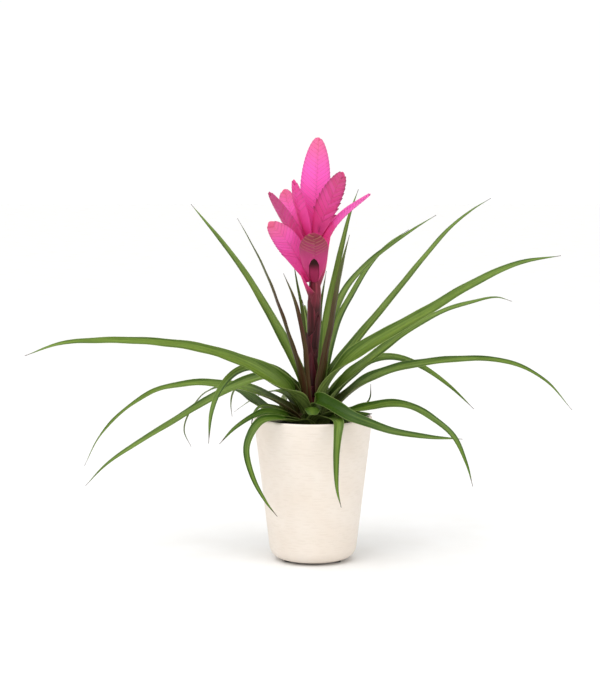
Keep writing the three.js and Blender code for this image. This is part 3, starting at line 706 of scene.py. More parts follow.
def new_finish(name):
    """A material and its node tree."""
    material = bpy.data.materials.new(name)
    material.use_nodes = True
    return material, material.node_tree


def finished(material, **inputs):
    """Gives the material's shader its inputs, whose names are written with underscores."""
    tree = material.node_tree
    named = {name.replace("_", " "): value for name, value in inputs.items()}
    connect(tree, tree.nodes["Principled BSDF"], named)
    return material


def leaf_finish(look):
    """Leaf blade, grown, under a waxy cuticle.

    The wax gives a soft, slightly broken gloss. The fibres give long streaks of deep and
    fresh green about 1.6 mm wide, the sheath is flushed purple-brown, the very edge is a
    thin paler line and the tip is dry.
    """
    material, tree = new_finish("leaf_blade_waxy_cuticle")
    fibres = add_node(tree, "vector", attribute_name="fibres")
    across, shade, flushed, under, dry, red = (
        add_node(tree, "number", attribute_name=key)
        for key in ("across", "shade", "flushed", "under", "dry", "red")
    )
    # Streaks: 1.6 mm across and about 60 mm long.
    stretched = add_node(tree, "stretch", fibres, (0.62, 0.016, 1.0))
    streak = add_node(tree, "noise", stretched, 1.0, 4.0, 0.62)
    streaked = add_node(tree, "remap", streak, 0.36, 0.64)
    # Slow change of green along the blade, over about 30 mm.
    slow = add_node(tree, "stretch", fibres, (0.05, 0.03, 1.0))
    cloud = add_node(tree, "noise", slow, 1.0, 2.0)
    depth = add_node(tree, "multiply", streaked, 0.55)
    depth = add_node(tree, "multiply and add", cloud, 0.45, depth)
    # The shade value darkens the green: partly the leaf's own tone and partly painted shade.
    shaded = add_node(tree, "multiply and add", shade, -0.85, depth)
    light = add_node(tree, "remap", shaded, -0.35, 0.95)
    green = add_node(tree, "blend", light, look.deep, look.fresh)
    # The underside is greyer, from the scales that it drinks through.
    underside = add_node(tree, "blend", streaked, paint("#38491A"), paint("#70833F"))
    green = add_node(tree, "blend", under, green, underside)
    # The very edge is mixed towards a paler green.
    edge = add_node(tree, "absolute", across)
    rim = add_node(tree, "remap", edge, 0.9, 1.0, 0.0, 0.55)
    green = add_node(tree, "blend", rim, green, paint("#94A25C"))
    # The flush runs along the fibres.
    flush = add_node(tree, "multiply and add", streaked, 0.5, 0.55)
    flush = add_node(tree, "multiply", flush, flushed, use_clamp=True)
    purple = add_node(tree, "blend", red, look.flush, paint("#4E1119"))
    coloured = add_node(tree, "blend", flush, green, purple)
    coloured = add_node(tree, "blend", dry, coloured, look.tip)
    # Veins really stand 0.7 mm apart. They are drawn 1.4 mm apart, so that they show.
    veins = add_node(tree, "stretch", fibres, (0.72, 0.004, 1.0))
    ridges = add_node(tree, "noise", veins, 1.0, 2.0, 0.6)
    return finished(
        material,
        Base_Color=coloured,
        Roughness=add_node(tree, "remap", streaked, 0, 1, 0.5, 0.36),
        Normal=add_node(tree, "bump", 0.35, 0.5 * MM, ridges),
        IOR=1.4,
        Specular_IOR_Level=0.35,
        Subsurface_Weight=0.08,
        Subsurface_Radius=(0.6, 1.0, 0.25),
        Subsurface_Scale=1.5 * MM,
    )


def bract_finish(look):
    """Quill bract, grown, a stiff, smooth leaf full of pink sap.

    It gives a soft gloss, fine veins that run to each bract's tip, a thin dry line on each
    free margin, coral towards the quill's tip, crimson towards its foot, and tan lines on
    the fading ones.
    """
    material, tree = new_finish("quill_bract_smooth_tissue")
    along, margin, tone, faded, coral, dark = (
        add_node(tree, "number", attribute_name=key)
        for key in ("along", "margin", "tone", "faded", "coral", "dark")
    )
    fibres = add_node(tree, "vector", attribute_name="fibres")
    # Veins: 0.9 mm apart, running up each bract.
    stretched = add_node(tree, "stretch", fibres, (1.1, 0.09, 1.0))
    veins = add_node(tree, "noise", stretched, 1.0, 3.0)
    # From crimson at the foot to pink in the middle.
    rise = add_node(tree, "remap", along, 0.05, 0.5)
    pink = add_node(tree, "blend", rise, look.deep_pink, look.pink)
    veined = add_node(tree, "remap", veins, 0.4, 0.7, 0.0, 0.35)
    pink = add_node(tree, "blend", veined, pink, paint("#FF70C8"))
    pink = add_node(tree, "blend", tone, pink, paint("#E02A7C"))
    pink = add_node(tree, "blend", coral, pink, look.coral)
    pink = add_node(tree, "blend", faded, pink, look.dull)
    # The free margin: about 1 mm of drier tissue, tan on the fading bracts.
    strength = add_node(tree, "remap", faded, 0.3, 0.95, 0.38, 0.5)
    line = add_node(tree, "remap", margin, 0.4, 1.1, strength, 0)
    dry_line = add_node(tree, "blend", faded, paint("#B34A76"), paint("#B27A62"))
    pink = add_node(tree, "blend", line, pink, dry_line)
    # Near black from the dark value: painted shadow on a bare quill foot under its bracts, partly
    # dark red and partly painted shadow at the keels' teeth, and a darkening towards the feet of
    # the boat bracts.
    pink = add_node(tree, "blend", dark, pink, paint("#300C0C"))
    return finished(
        material,
        Base_Color=pink,
        Roughness=add_node(tree, "remap", veins, 0, 1, 0.5, 0.62),
        Normal=add_node(tree, "bump", 0.3, 0.4 * MM, veins),
        IOR=1.38,
        Specular_IOR_Level=0.35,
        Subsurface_Weight=0.05,
        Subsurface_Radius=(1.0, 0.35, 0.5),
        Subsurface_Scale=1.5 * MM,
    )


def stalk_finish(look):
    """Flower stalk and its sheaths, grown, firm and fleshy, full of dark red sap.

    It gives a low gloss, long streaks of crimson and brown-black about 2 mm wide, and a
    dull pink where the bracts begin to colour.
    """
    material, tree = new_finish("stalk_fleshy_tissue")
    fibres = add_node(tree, "vector", attribute_name="fibres")
    rosy = add_node(tree, "number", attribute_name="rosy")
    margin = add_node(tree, "number", attribute_name="margin")
    stretched = add_node(tree, "stretch", fibres, (0.45, 0.02, 1.0))
    streak = add_node(tree, "noise", stretched, 1.0, 4.0, 0.6)
    streaked = add_node(tree, "remap", streak, 0.38, 0.62)
    dark = add_node(tree, "blend", streaked, paint("#2C0F10"), look.stalk)
    crimson = add_node(tree, "remap", streak, 0.6, 0.72, 0.0, 0.7)
    dark = add_node(tree, "blend", crimson, dark, paint("#7A1C2E"))
    pinker = add_node(tree, "blend", streaked, paint("#651A28"), paint("#98384C"))
    coloured = add_node(tree, "blend", rosy, dark, pinker)
    line = add_node(tree, "remap", margin, 0.3, 1.0, 0.22, 0)
    return finished(
        material,
        Base_Color=add_node(tree, "blend", line, coloured, paint("#8A4450")),
        Roughness=add_node(tree, "remap", streaked, 0, 1, 0.48, 0.38),
        Normal=add_node(tree, "bump", 0.4, 0.5 * MM, streak),
        IOR=1.38,
        Specular_IOR_Level=0.35,
        Subsurface_Weight=0.06,
        Subsurface_Scale=1.5 * MM,
    )


def glaze_finish(look):
    """Stoneware, pressed with dashes, under a cream satin glaze.

    The glaze gives an even soft sheen, pools slightly darker in the dashes, and is faintly
    uneven in patches of 35 mm, with small iron specks and a skin that is hardly rough.
    """
    material, tree = new_finish("stoneware_cream_satin_glaze")
    place = add_node(tree, "place")
    pooled = add_node(tree, "number", attribute_name="pooled")
    cloud = add_node(tree, "noise", place, 28.0, 3.0, 0.5)
    clouded = add_node(tree, "remap", cloud, 0.35, 0.7)
    cream = add_node(tree, "blend", clouded, look.glaze, paint("#E6DACD"))
    pool = add_node(tree, "multiply", pooled, 0.45)
    cream = add_node(tree, "blend", pool, cream, paint("#DED2C4"))
    # Specks of iron from the clay, about 0.7 mm, few and faint.
    specks = add_node(tree, "noise", place, 1400.0, 1.0)
    speck = add_node(tree, "remap", specks, 0.74, 0.8, 0.0, 0.35)
    # The skin of the glaze, uneven every 2.4 mm.
    skin = add_node(tree, "noise", place, 420.0, 2.0)
    return finished(
        material,
        Base_Color=add_node(tree, "blend", speck, cream, paint("#B59F86")),
        Roughness=add_node(tree, "remap", cloud, 0, 1, 0.42, 0.56),
        Normal=add_node(tree, "bump", 0.12, 0.3 * MM, skin),
        IOR=1.5,
    )


def peat_finish(look):
    """Peat mix, crumbled and moist.

    It gives a dark, broken brown with dry lighter crumbs of 1 to 4 mm and hardly any gloss.
    """
    material, tree = new_finish("peat_mix_crumbled_moist")
    grain = add_node(tree, "noise", add_node(tree, "place"), 380.0, 5.0, 0.7)
    grained = add_node(tree, "remap", grain, 0.35, 0.68)
    brown = add_node(tree, "blend", grained, paint("#1B130E"), look.peat)
    dry = add_node(tree, "remap", grain, 0.6, 0.75, 0.0, 0.6)
    return finished(
        material,
        Base_Color=add_node(tree, "blend", dry, brown, paint("#5E4632")),
        Roughness=add_node(tree, "remap", grained, 0, 1, 0.78, 0.95),
        Normal=add_node(tree, "bump", 0.8, 1.0 * MM, grain),
    )


def nursery_plastic_finish():
    """Polypropylene, thermoformed black.

    It gives a dull black with dust lying in patches of about 6 mm.
    """
    material, tree = new_finish("polypropylene_thermoformed_black")
    dust = add_node(tree, "noise", add_node(tree, "place"), 160.0, 4.0, 0.65)
    dusty = add_node(tree, "remap", dust, 0.45, 0.75)
    return finished(
        material,
        Base_Color=add_node(tree, "blend", dusty, paint("#161514"), paint("#332F2B")),
        Roughness=add_node(tree, "remap", dust, 0, 1, 0.42, 0.7),
        IOR=1.49,
    )


def pad_finish():
    """Rubber, cut from a sheet and stuck on.

    It gives a matt charcoal with the grey bloom that rubber gets, in specks of 1 mm.
    """
    material, tree = new_finish("rubber_die_cut_pad")
    bloom = add_node(tree, "noise", add_node(tree, "place"), 900.0, 3.0)
    bloomed = add_node(tree, "remap", bloom, 0.4, 0.7)
    return finished(
        material,
        Base_Color=add_node(tree, "blend", bloomed, paint("#1D1A18"), paint("#35302C")),
        Roughness=add_node(tree, "remap", bloom, 0, 1, 0.75, 0.92),
        IOR=1.52,
    )


def stem_finish():
    """The plant's short stem, grown, scarred by old leaf bases.

    It gives a dull brown-green with darker rings about 3 mm apart.
    """
    material, tree = new_finish("stem_scarred_tissue")
    flat = add_node(tree, "stretch", add_node(tree, "place"), (60.0, 60.0, 330.0))
    rings = add_node(tree, "noise", flat, 1.0, 3.0)
    ringed = add_node(tree, "remap", rings, 0.35, 0.65)
    return finished(
        material,
        Base_Color=add_node(tree, "blend", ringed, paint("#2E2A17"), paint("#566135")),
        Roughness=0.65,
        Normal=add_node(tree, "bump", 0.6, 0.6 * MM, rings),
    )


def floor_finish(look):
    """Seamless paper, rolled out.

    It gives a flat, even white with a tooth too fine to show, drawn as a faint change of
    tone a few centimetres wide.
    """
    material, tree = new_finish("seamless_paper_white")
    tooth = add_node(tree, "noise", add_node(tree, "place"), 20.0, 2.0)
    white = add_node(tree, "blend", tooth, look.floor, paint("#F0EFED"))
    return finished(material, Base_Color=white, Roughness=1.0, Specular_IOR_Level=0.0)


# ---------- the pot and what it holds ----------

# How finely the cover pot is turned, and how many of its foot's rings carry dashes.
POT_SEGMENTS = 256
POT_WALL_RINGS = 236
POT_INSIDE_RINGS = 26
DASHED_FOOT_RINGS = 8
# Radius of the flat middle of its underside and of its floor.
POT_FLAT_RADIUS = 15
# The relief fades in above its first row and out below the lip.
RELIEF_FADES_IN = 8
RELIEF_FADES_OUT = 6

# Rows of dashes: the step from one to the next as a share of the usual one, how far from
# its row a dash can reach, half the height of one dash, where the first of a row starts,
# its length, the gap after it, how deep it is, how much it slopes and how far it strays.
ROW_STEPS = (0.7, 1.35)
DASH_REACH = 2.4
DASH_HALF_HEIGHT = 0.62
FIRST_DASH_DEGREES = (0, 30)
DASH_DEGREES = (5, 16)
DASH_GAP_DEGREES = (2, 12)
DASH_DEPTHS = (0.35, 1.0)
DASH_SLOPES = (-0.03, 0.03)
DASH_SHIFTS = (-0.5, 0.5)


def pressed_dashes(heights, row_step, seed):
    """How deep each point of the wall is pressed in, 0 to 1, in rows of uneven dashes."""
    rng = np.random.default_rng(seed)
    depth = np.zeros((len(heights), POT_SEGMENTS))
    around = np.arange(POT_SEGMENTS) * (360 / POT_SEGMENTS)
    row = heights[0]
    while row < heights[-1]:
        row += row_step * rng.uniform(*ROW_STEPS)
        near = np.abs(heights - row) < DASH_REACH
        if not near.any():
            continue
        at = rng.uniform(*FIRST_DASH_DEGREES)
        # A row carries on a little past the full circle, over the gap before its first dash.
        while at < 370:
            length = rng.uniform(*DASH_DEGREES)
            strength = rng.uniform(*DASH_DEPTHS)
            slope = rng.uniform(*DASH_SLOPES)
            away = (around - at - length / 2 + 180) % 360 - 180
            ends = np.clip(1 - (np.abs(away) / (length / 2)) ** 4, 0, 1)
            centre = row + slope * away + rng.uniform(*DASH_SHIFTS)
            up = bump_at(heights[near, None] - centre[None, :], DASH_HALF_HEIGHT)
            depth[near] = np.maximum(depth[near], strength * ends[None, :] * up)
            at += length + rng.uniform(*DASH_GAP_DEGREES)
    return depth


def straight(start, end, count):
    """(radius, height) pairs at even steps between two others."""
    steps = np.linspace(0, 1, count)[1:-1, None]
    return (np.array(start) + (np.array(end) - np.array(start)) * steps).tolist()


def build_pot(look):
    """The cover pot: a turned wall with a rounded foot and lip and rows of pressed dashes."""
    lip = POT_WALL / 2
    foot_height = POT_UNDERSIDE + POT_FOOT_FILLET
    lip_height = POT_HEIGHT - lip
    lean = (POT_RIM_RADIUS - POT_FOOT_RADIUS) / (lip_height - foot_height)
    lean_degrees = math.degrees(math.atan(lean))
    floor_top = POT_UNDERSIDE + POT_FLOOR
    inside_foot = floor_top + POT_INSIDE_FILLET
    inside_radius = POT_FOOT_RADIUS + (inside_foot - foot_height) * lean - POT_WALL
    foot = fillet(
        POT_FOOT_RADIUS - POT_FOOT_FILLET, foot_height, POT_FOOT_FILLET, -90, -lean_degrees, 22
    )
    rim = fillet(POT_RIM_RADIUS - lip, lip_height, lip, -lean_degrees, 180, 12)
    wall = straight(foot[-1], rim[0], POT_WALL_RINGS)
    inside_fillet = fillet(
        inside_radius - POT_INSIDE_FILLET, inside_foot, POT_INSIDE_FILLET, 0, -90, 8
    )
    profile = [
        (0, POT_UNDERSIDE), (POT_FLAT_RADIUS, POT_UNDERSIDE), *foot, *wall, *rim,
        *straight(rim[-1], inside_fillet[0], POT_INSIDE_RINGS), *inside_fillet,
        (POT_FLAT_RADIUS, floor_top), (0, floor_top),
    ]
    heights = np.array([height for _, height in profile[1:-1]])
    dashed = slice(1 + len(foot) - DASHED_FOOT_RINGS, 1 + len(foot) + len(wall))
    rows = heights[dashed]
    fade = ease(rows, rows[0], rows[0] + RELIEF_FADES_IN)
    fade = fade * (1 - ease(rows, rows[-1] - RELIEF_FADES_OUT, rows[-1]))
    pressed = np.zeros((len(heights), POT_SEGMENTS))
    pressed[dashed] = pressed_dashes(rows, look.dash_row / MM, seed=11) * fade[:, None]
    shells = Shells()
    shells.add(
        turned_points(profile, POT_SEGMENTS, -pressed * look.relief / MM),
        turned_faces(len(heights), POT_SEGMENTS),
        pooled=np.concatenate(([0], pressed.ravel(), [0])),
    )
    shells.make("cover_pot_glazed", glaze_finish(look), "pot_glaze", "ceramic_pot")


PAD_SEGMENTS = 56


def build_pads():
    """Three round rubber pads with a softened edge."""
    finish = pad_finish()
    top = PAD_THICKNESS - 0.05
    profile = [
        (0, 0), (PAD_RADIUS - 0.5, 0), *fillet(PAD_RADIUS - 0.4, 0.4, 0.4, -80, 0, 5),
        *fillet(PAD_RADIUS - 0.2, top - 0.2, 0.2, 0, 90, 3), (0, top),
    ]
    for number in range(3):
        angle = math.radians(PAD_FIRST_ANGLE + number * 120)
        centre = (PAD_CIRCLE * math.cos(angle), PAD_CIRCLE * math.sin(angle), 0)
        shells = Shells()
        shells.add(
            turned_points(profile, PAD_SEGMENTS) + centre,
            turned_faces(len(profile) - 2, PAD_SEGMENTS),
        )
        shells.make(f"rubber_pad_{number + 1}", finish, "pad_rubber", f"foot_pad_{number + 1}")


# The growing medium's top: how finely it is made, the radius at which it has fallen to its
# edge, the height of its middle under the stem, its lumps as (size, layer of the noise,
# height), how far it has settled, and the radii of its loose crumbs.
MEDIUM_SEGMENTS = 120
MEDIUM_RINGS = 30
MEDIUM_FALLS_TO = 44
MEDIUM_UNDER_STEM = 116
LUMPS = ((9, 3.1, 1.5), (3.2, 7.7, 0.9))
MEDIUM_SETTLED = 1.2
CRUMB_SIZES = (0.7, 2.1)


def medium_height(x, y):
    """Height of the uneven top of the growing medium at a place in plan."""
    fall = float(ease(math.hypot(x, y), MEDIUM_MOUTH, MEDIUM_FALLS_TO))
    height = mix(MEDIUM_MIDDLE, MEDIUM_EDGE, fall) - MEDIUM_SETTLED
    for size, layer, lift in LUMPS:
        height += lift * noise.noise(Vector((x / size, y / size, layer)))
    return height


def build_medium(look):
    """The peat: a filled nursery pot, its crumbly top and loose crumbs on it."""
    rng = random.Random(5)
    (floor_radius, floor_height), (top_radius, top_height) = NURSERY_FLOOR, NURSERY_TOP
    edge = float(np.interp(
        MEDIUM_EDGE - 1, (floor_height, top_height), (floor_radius, top_radius)
    )) - NURSERY_CLEARANCE
    angles = np.arange(MEDIUM_SEGMENTS) * (2 * math.pi / MEDIUM_SEGMENTS)
    turns = [(math.cos(angle), math.sin(angle)) for angle in angles]
    points = [
        (radius * cos, radius * sin, height)
        for radius, height in (
            (floor_radius - NURSERY_CLEARANCE, floor_height), (edge, MEDIUM_EDGE - 3)
        )
        for cos, sin in turns
    ]
    points += [
        (radius * cos, radius * sin, medium_height(radius * cos, radius * sin))
        for radius in np.linspace(edge, MEDIUM_MOUTH - 5, MEDIUM_RINGS)
        for cos, sin in turns
    ]
    shells = Shells()
    shells.add(
        [(0, 0, floor_height), *points, (0, 0, MEDIUM_UNDER_STEM)],
        turned_faces(2 + MEDIUM_RINGS, MEDIUM_SEGMENTS),
    )
    ball = bmesh.new()
    bmesh.ops.create_icosphere(ball, subdivisions=2, radius=1)
    crumb = np.array([v.co for v in ball.verts])
    crumb_faces = [[v.index for v in face.verts] for face in ball.faces]
    ball.free()
    for _ in range(look.crumbs):
        radius = math.sqrt(rng.uniform((MEDIUM_MOUTH + 2) ** 2, (edge - 2.5) ** 2))
        turn = rng.uniform(0, 2 * math.pi)
        x, y = radius * math.cos(turn), radius * math.sin(turn)
        size = rng.uniform(*CRUMB_SIZES)
        offset = Vector((rng.uniform(0, 99), rng.uniform(0, 99), 0))
        lumps = np.array([1 + 0.55 * noise.noise(Vector(c) * 1.6 + offset) for c in crumb])
        squeeze = np.array([rng.uniform(0.7, 1.3), rng.uniform(0.6, 1.1), rng.uniform(0.5, 0.8)])
        place = (x, y, medium_height(x, y) + size / 4)
        shells.add(crumb * lumps[:, None] * squeeze * size + place, crumb_faces)
    shells.make("peat_mix", peat_finish(look), "peat", "growing_medium")


# ---------- leaves ----------

# Where a leaf's columns of points lie across it, from edge to edge.
LEAF_COLUMNS = np.array(
    (-1, -0.93, -0.8, -0.6, -0.4, -0.2, -0.07, 0, 0.07, 0.2, 0.4, 0.6, 0.8, 0.93, 1.0)
)
RING_STEP = 2.4
FEWEST_RINGS = 40
# The sheaths: the innermost one's distance from the stem, the steps from one layer to the
# next at the leaf's seat and below it, how far they reach below it and how low they may
# go, and half the angle that they take up round the stem.
STEM_CLEARANCE = 0.5
SHEATH_LAYERS = 4
SEAT_LAYER_STEP = 0.35
SHEATH_LAYER_STEP = 0.3
SHEATH_REACH = 13
SHEATH_LOWEST = 129
SHEATH_HALF_ANGLE = 0.95
# The width of leaf that clasps the stem in full, and the one that the channel is given for.
CLASPING_WIDTH = 12
CHANNEL_WIDTH = 13
ARCHED_CHANNEL = 1.8
MIDRIB_SHARE = 0.13
GROOVE_DEPTH = 0.42
KEEL_HEIGHT = 0.3


class Leaf:
    """A leaf's middle line, how wide it is at each point of it and how it is rolled."""

    def __init__(self, node, layer, look):
        seat, width, facing, habit, route = LEAVES[node]
        self.habit = LEAF_HABIT | LEAF_HABITS[habit]
        arched = self.habit["arched"]
        outward = plan_direction(*route[0][:2])
        seat_radius = crown_radius(seat) + STEM_CLEARANCE + SEAT_LAYER_STEP * layer
        foot = np.array((*(seat_radius * outward[:2]), seat))
        low = max(seat - SHEATH_REACH, SHEATH_LOWEST)
        sheath = [
            (*((crown_radius(z) + STEM_CLEARANCE + SHEATH_LAYER_STEP * layer) * outward[:2]), z)
            for z in (low, (low + seat) / 2)
        ]
        middle = [*sheath, foot, *route]
        towards_tip = plan_direction(*(route[-1] - foot)[:2])
        rough_length = smooth_line(middle, 9)[1]
        turn_start = (seat - low) / rough_length

        def turned(t):
            return ease(t, turn_start, self.habit["turned"] + turn_start)

        self.ribbon = Ribbon(
            middle,
            lambda t: mix(outward, towards_tip, turned(t)),
            lambda t: facing * turned(t),
            max(FEWEST_RINGS, round(rough_length / RING_STEP)),
        )
        # How far each point is beyond the sheath, and the same as a share of the blade.
        self.beyond = self.ribbon.distance - (seat - low)
        self.blade = self.ribbon.length - (seat - low)
        self.t = t = np.clip(self.beyond / self.blade, 0, 1)
        self.opened = ease(self.beyond, 0, self.habit["opens"])
        clasp = SHEATH_HALF_ANGLE * min(1, width / CLASPING_WIDTH) * self.habit["clasp"]
        if arched:
            taper = np.maximum((1 - t**5) ** 0.5, 0.12)
        else:
            taper = (1 - t**1.6) ** 1.1 + 0.12 * ease(t, 0.5, 0.85) * (1 - t**12)
        swell = 1 + self.habit["swell"] * (1 - ease(self.beyond, 25, 115))
        half = mix(clasp * seat_radius, taper * width / 2 * swell, self.opened)
        self.half = np.maximum(half, 0.3)
        channel = look.channel / MM * width / CHANNEL_WIDTH * (ARCHED_CHANNEL if arched else 1)
        bend = mix(seat_radius, channel, ease(self.beyond, 0, 40))
        self.bend = mix(bend, np.maximum(self.half * 1.15, 1.0), ease(t, 0.75, 1.0))
        gauge = look.thickness / MM * mix(1.25, 1.0, self.opened)
        self.thick = gauge * mix(1.0, 0.45, ease(t, 0.35, 1.0))

    def sides(self, rng, edge_wave):
        """The points of its upper and its lower side."""
        t, half, thick, columns = self.t, self.half, self.thick, LEAF_COLUMNS
        arched = self.habit["arched"]
        x, y, angle = rolled(columns, half, self.bend)
        if arched:
            y, angle = mix(y, -y, self.opened), mix(angle, -angle, self.opened)
        # Slow waves along the two edges, the midrib's groove above and its keel below.
        phase = rng.uniform(0, 6.28), rng.uniform(0, 6.28)
        pitch = rng.uniform(34, 60)
        swing = edge_wave * rng.uniform(0.4, 1.2) * self.opened * (1 - ease(t, 0.85, 1))
        wave = np.where(
            columns < 0,
            np.sin(2 * math.pi * self.beyond / pitch + phase[0]),
            np.sin(2 * math.pi * self.beyond / (pitch * 1.17) + phase[1]),
        )
        y = y + wave * columns**2 * (swing * half / 7)
        gauge = thick * np.maximum(1 - columns**2, 0.0) ** 0.6 * 0.7 + thick * 0.3
        midrib = bump_at(columns, MIDRIB_SHARE) * np.minimum(half / 7, 1) * (not arched)
        up, down = gauge / 2 - GROOVE_DEPTH * midrib, gauge / 2 + KEEL_HEIGHT * midrib
        return self.ribbon.sides(x, y, angle, up, down)

    def tints(self, rng, seed):
        """The values that its finish reads, as (upper side, lower side) where they differ."""
        t, beyond, habit, columns = self.t, self.beyond, self.habit, LEAF_COLUMNS
        flush = habit["flush"] * (1 - ease(beyond, 0, habit["flush_mm"])) + 0 * columns
        edge_share = 1 - habit["green_middle"] * (1 - np.abs(columns)) * ease(t, 0.25, 0.7)
        # The flush is raised at the sheath: partly its own purple-brown and partly painted shade
        # deep in the rosette.
        flush = flush * edge_share + 0.5 * (1 - ease(beyond, -8, 12))
        under_flush = flush + habit["under"] * (1 - ease(t, 0.2, 0.9))
        dry_mm = habit["dry"]
        dry = ease(beyond, self.blade - dry_mm, self.blade - 0.35 * dry_mm) if dry_mm else 0.0
        # Painted shade: the blade is darker near its foot, partly its own deeper green and partly
        # the shade of the rosette's middle; darker towards its edges, so that it is paler along its
        # middle, and one half is paler than the other, as light from above falls on its rolled
        # channel.
        shade = habit["shade"] + 0.32 * (1 - ease(beyond, 5, 60))
        shade = shade + rng.uniform(0.3, 0.7) * ease(np.abs(columns), 0.2, 0.8)
        shade = shade + rng.uniform(-0.35, 0.35) * columns - 0.18
        # Painted light: some leaves are paler over their outer half, where they face the light.
        shade = shade - habit["painted_light_end"] * ease(t, 0.3, 0.75)
        arc, distance = columns * self.half, self.ribbon.distance
        calm = (0.15, 0.3) if habit["arched"] else (1, 1)
        return dict(
            fibres=(
                vectors_of(arc * calm[0], distance * calm[1], seed),
                vectors_of(arc, distance, seed + 5),
            ),
            across=columns,
            shade=shade,
            flushed=(np.clip(flush, 0, 1), np.clip(under_flush, 0, 1)),
            under=(0, 1),
            dry=dry,
            red=habit["red"],
        )


def build_leaf(node, index, finish, look):
    """One strap leaf, from the sheath that clasps the stem to its dry tip."""
    rng = random.Random(LEAF_DRAWS + index)
    leaf = Leaf(node, index % SHEATH_LAYERS, look)
    upper, lower = leaf.sides(rng, look.edge_wave / MM)
    shells = Shells()
    shells.add_strip(upper, lower, **leaf.tints(rng, LEAF_FIBRES * index))
    shells.make(node.replace("leaf", "strap_leaf"), finish, "leaf", node)


# ---------- the flower stalk and its bracts ----------

STALK_SEGMENTS = 36
STALK_RINGS = 90
# The stalk's ribs: how many, and their height as a share of its radius.
STALK_RIBS = 7
RIB_SHARE = 0.025
# A margin this far off shows no line.
FAR_FROM_MARGIN = 9.0


def build_stalk(finish):
    """The stalk: a slightly ribbed round stem that swells where the quills leave it."""
    ribbon = Ribbon(STALK, FRONT, 0, STALK_RINGS)
    heights = ribbon.line[:, 2:]
    radii = np.interp(heights, [p[2] for p in STALK], STALK_RADII)
    angle = np.linspace(0, 2 * math.pi, STALK_SEGMENTS, endpoint=False)
    radius = radii * (1 + RIB_SHARE * np.cos(STALK_RIBS * angle))
    points = ribbon.place(ribbon.distance, radius * np.cos(angle), radius * np.sin(angle))
    rosy = 0.7 * ease(heights, 262, 285) + 0 * angle
    rosy = rosy + 0.7 * (1 - ease(heights, 170, 215))
    fibres = vectors_of(radius * angle, ribbon.distance, STALK_FIBRES)
    end = (0, 0, STALK_FIBRES)
    shells = Shells()
    shells.add(
        np.vstack((ribbon.line[:1], points.reshape(-1, 3), ribbon.line[-1:])),
        [face[::-1] for face in turned_faces(STALK_RINGS, STALK_SEGMENTS)],
        fibres=np.vstack((end, fibres.reshape(-1, 3), end)),
        rosy=np.concatenate(([0], rosy.ravel(), [1])),
        margin=FAR_FROM_MARGIN,
    )
    shells.make("flower_stalk_stem", finish, "stalk", "flower_stalk")


BRACT_RINGS = 40
BRACT_COLUMNS = np.linspace(-1, 1, 25)
BRACT_CLEARANCE = 0.35
BRACT_THICKNESS = 0.55
BRACT_KEEL = 0.45


def clasping_strip(foot, width, hug, heading, route, seed, around):
    """A bract rolled about the stalk, with a pointed tip.

    around is the share of the way round the stalk that its foot reaches. Returns its two
    sides, how far along each row is, 0 to 1, and the values that every bract has.
    """
    outward = plan_direction(*heading)
    reach = stalk_radius(foot) + BRACT_CLEARANCE
    start = stalk_foot(foot, outward, BRACT_CLEARANCE)
    ribbon = Ribbon([start, *route], outward, 0, BRACT_RINGS)
    t, columns = ribbon.t, BRACT_COLUMNS
    half = width / 2 * np.maximum((1 - t**2.2) ** 0.75, 0.03)
    half = mix(math.pi * around * reach, half, ease(t, 0, 0.55))
    bend = mix(reach, mix(hug, hug * 0.8, t), ease(t, 0.1, 0.6))
    x, y, angle = rolled(columns, half, bend)
    gauge = BRACT_THICKNESS * (0.35 + 0.65 * (1 - columns**2)) * mix(1, 0.5, t)
    gauge = gauge * mix(0.3, 1, ease(t, 0, 0.3))
    keel = BRACT_KEEL * bump_at(columns, 0.16) * ease(t, 0.2, 0.8)
    upper, lower = ribbon.sides(x, y, angle, gauge / 2, gauge / 2 + keel)
    return upper, lower, t, dict(
        fibres=vectors_of(columns * half, ribbon.distance, seed),
        margin=np.minimum((1 - np.abs(columns)) * half, ribbon.length - ribbon.distance),
    )


def build_stalk_bract(name, shape, finish, seed, *nodes):
    """A bract of the stalk, or a sheath, wrapped nearly all the way round it."""
    *strip, rosy = shape
    upper, lower, t, values = clasping_strip(*strip, seed, around=0.97)
    shells = Shells()
    shells.add_strip(upper, lower, rosy=rosy * ease(t, 0, 0.6), **values)
    shells.make(name, finish, "stalk", *nodes)


def build_quill_bract(node, finish, seed):
    """A boat-shaped pink bract that stands off below a quill."""
    upper, lower, t, values = clasping_strip(*QUILL_BRACTS[node], seed, around=0.5)
    shells = Shells()
    shells.add_strip(
        upper, lower, along=0.12, tone=0.8, faded=mix(0.9, 0.1, ease(t, 0.1, 0.6)),
        coral=0.0, dark=0.45 * (1 - ease(t, 0, 0.35)), **values,
    )
    shells.make(node.replace("quill_bract", "boat_bract"), finish, "flower_bract", node)


# ---------- quills ----------

# Where a folded bract's columns of points lie, from its edge round its keel.
FOLD_COLUMNS = np.array(
    (-1, -0.88, -0.72, -0.54, -0.36, -0.2, -0.09, -0.03, 0.03, 0.09, 0.2, 0.36, 0.54, 0.72, 0.88, 1)
)
CORE_COLUMNS = np.linspace(-0.97, 0.97, 13)
CORE_RINGS = 60
QUILL_RINGS = 120
QUILL_CLEARANCE = 0.6
# How far the top quill's foot reaches down into the stalk's end.
TOP_QUILL_SUNK = 4
# How much of the front quill's half width its arched foot takes up.
ARCH_SHARE = 0.68
# How far along each row of points of a bract is from the next, about.
FOLD_STEP = 1.5
FEWEST_FOLD_ROWS = 9


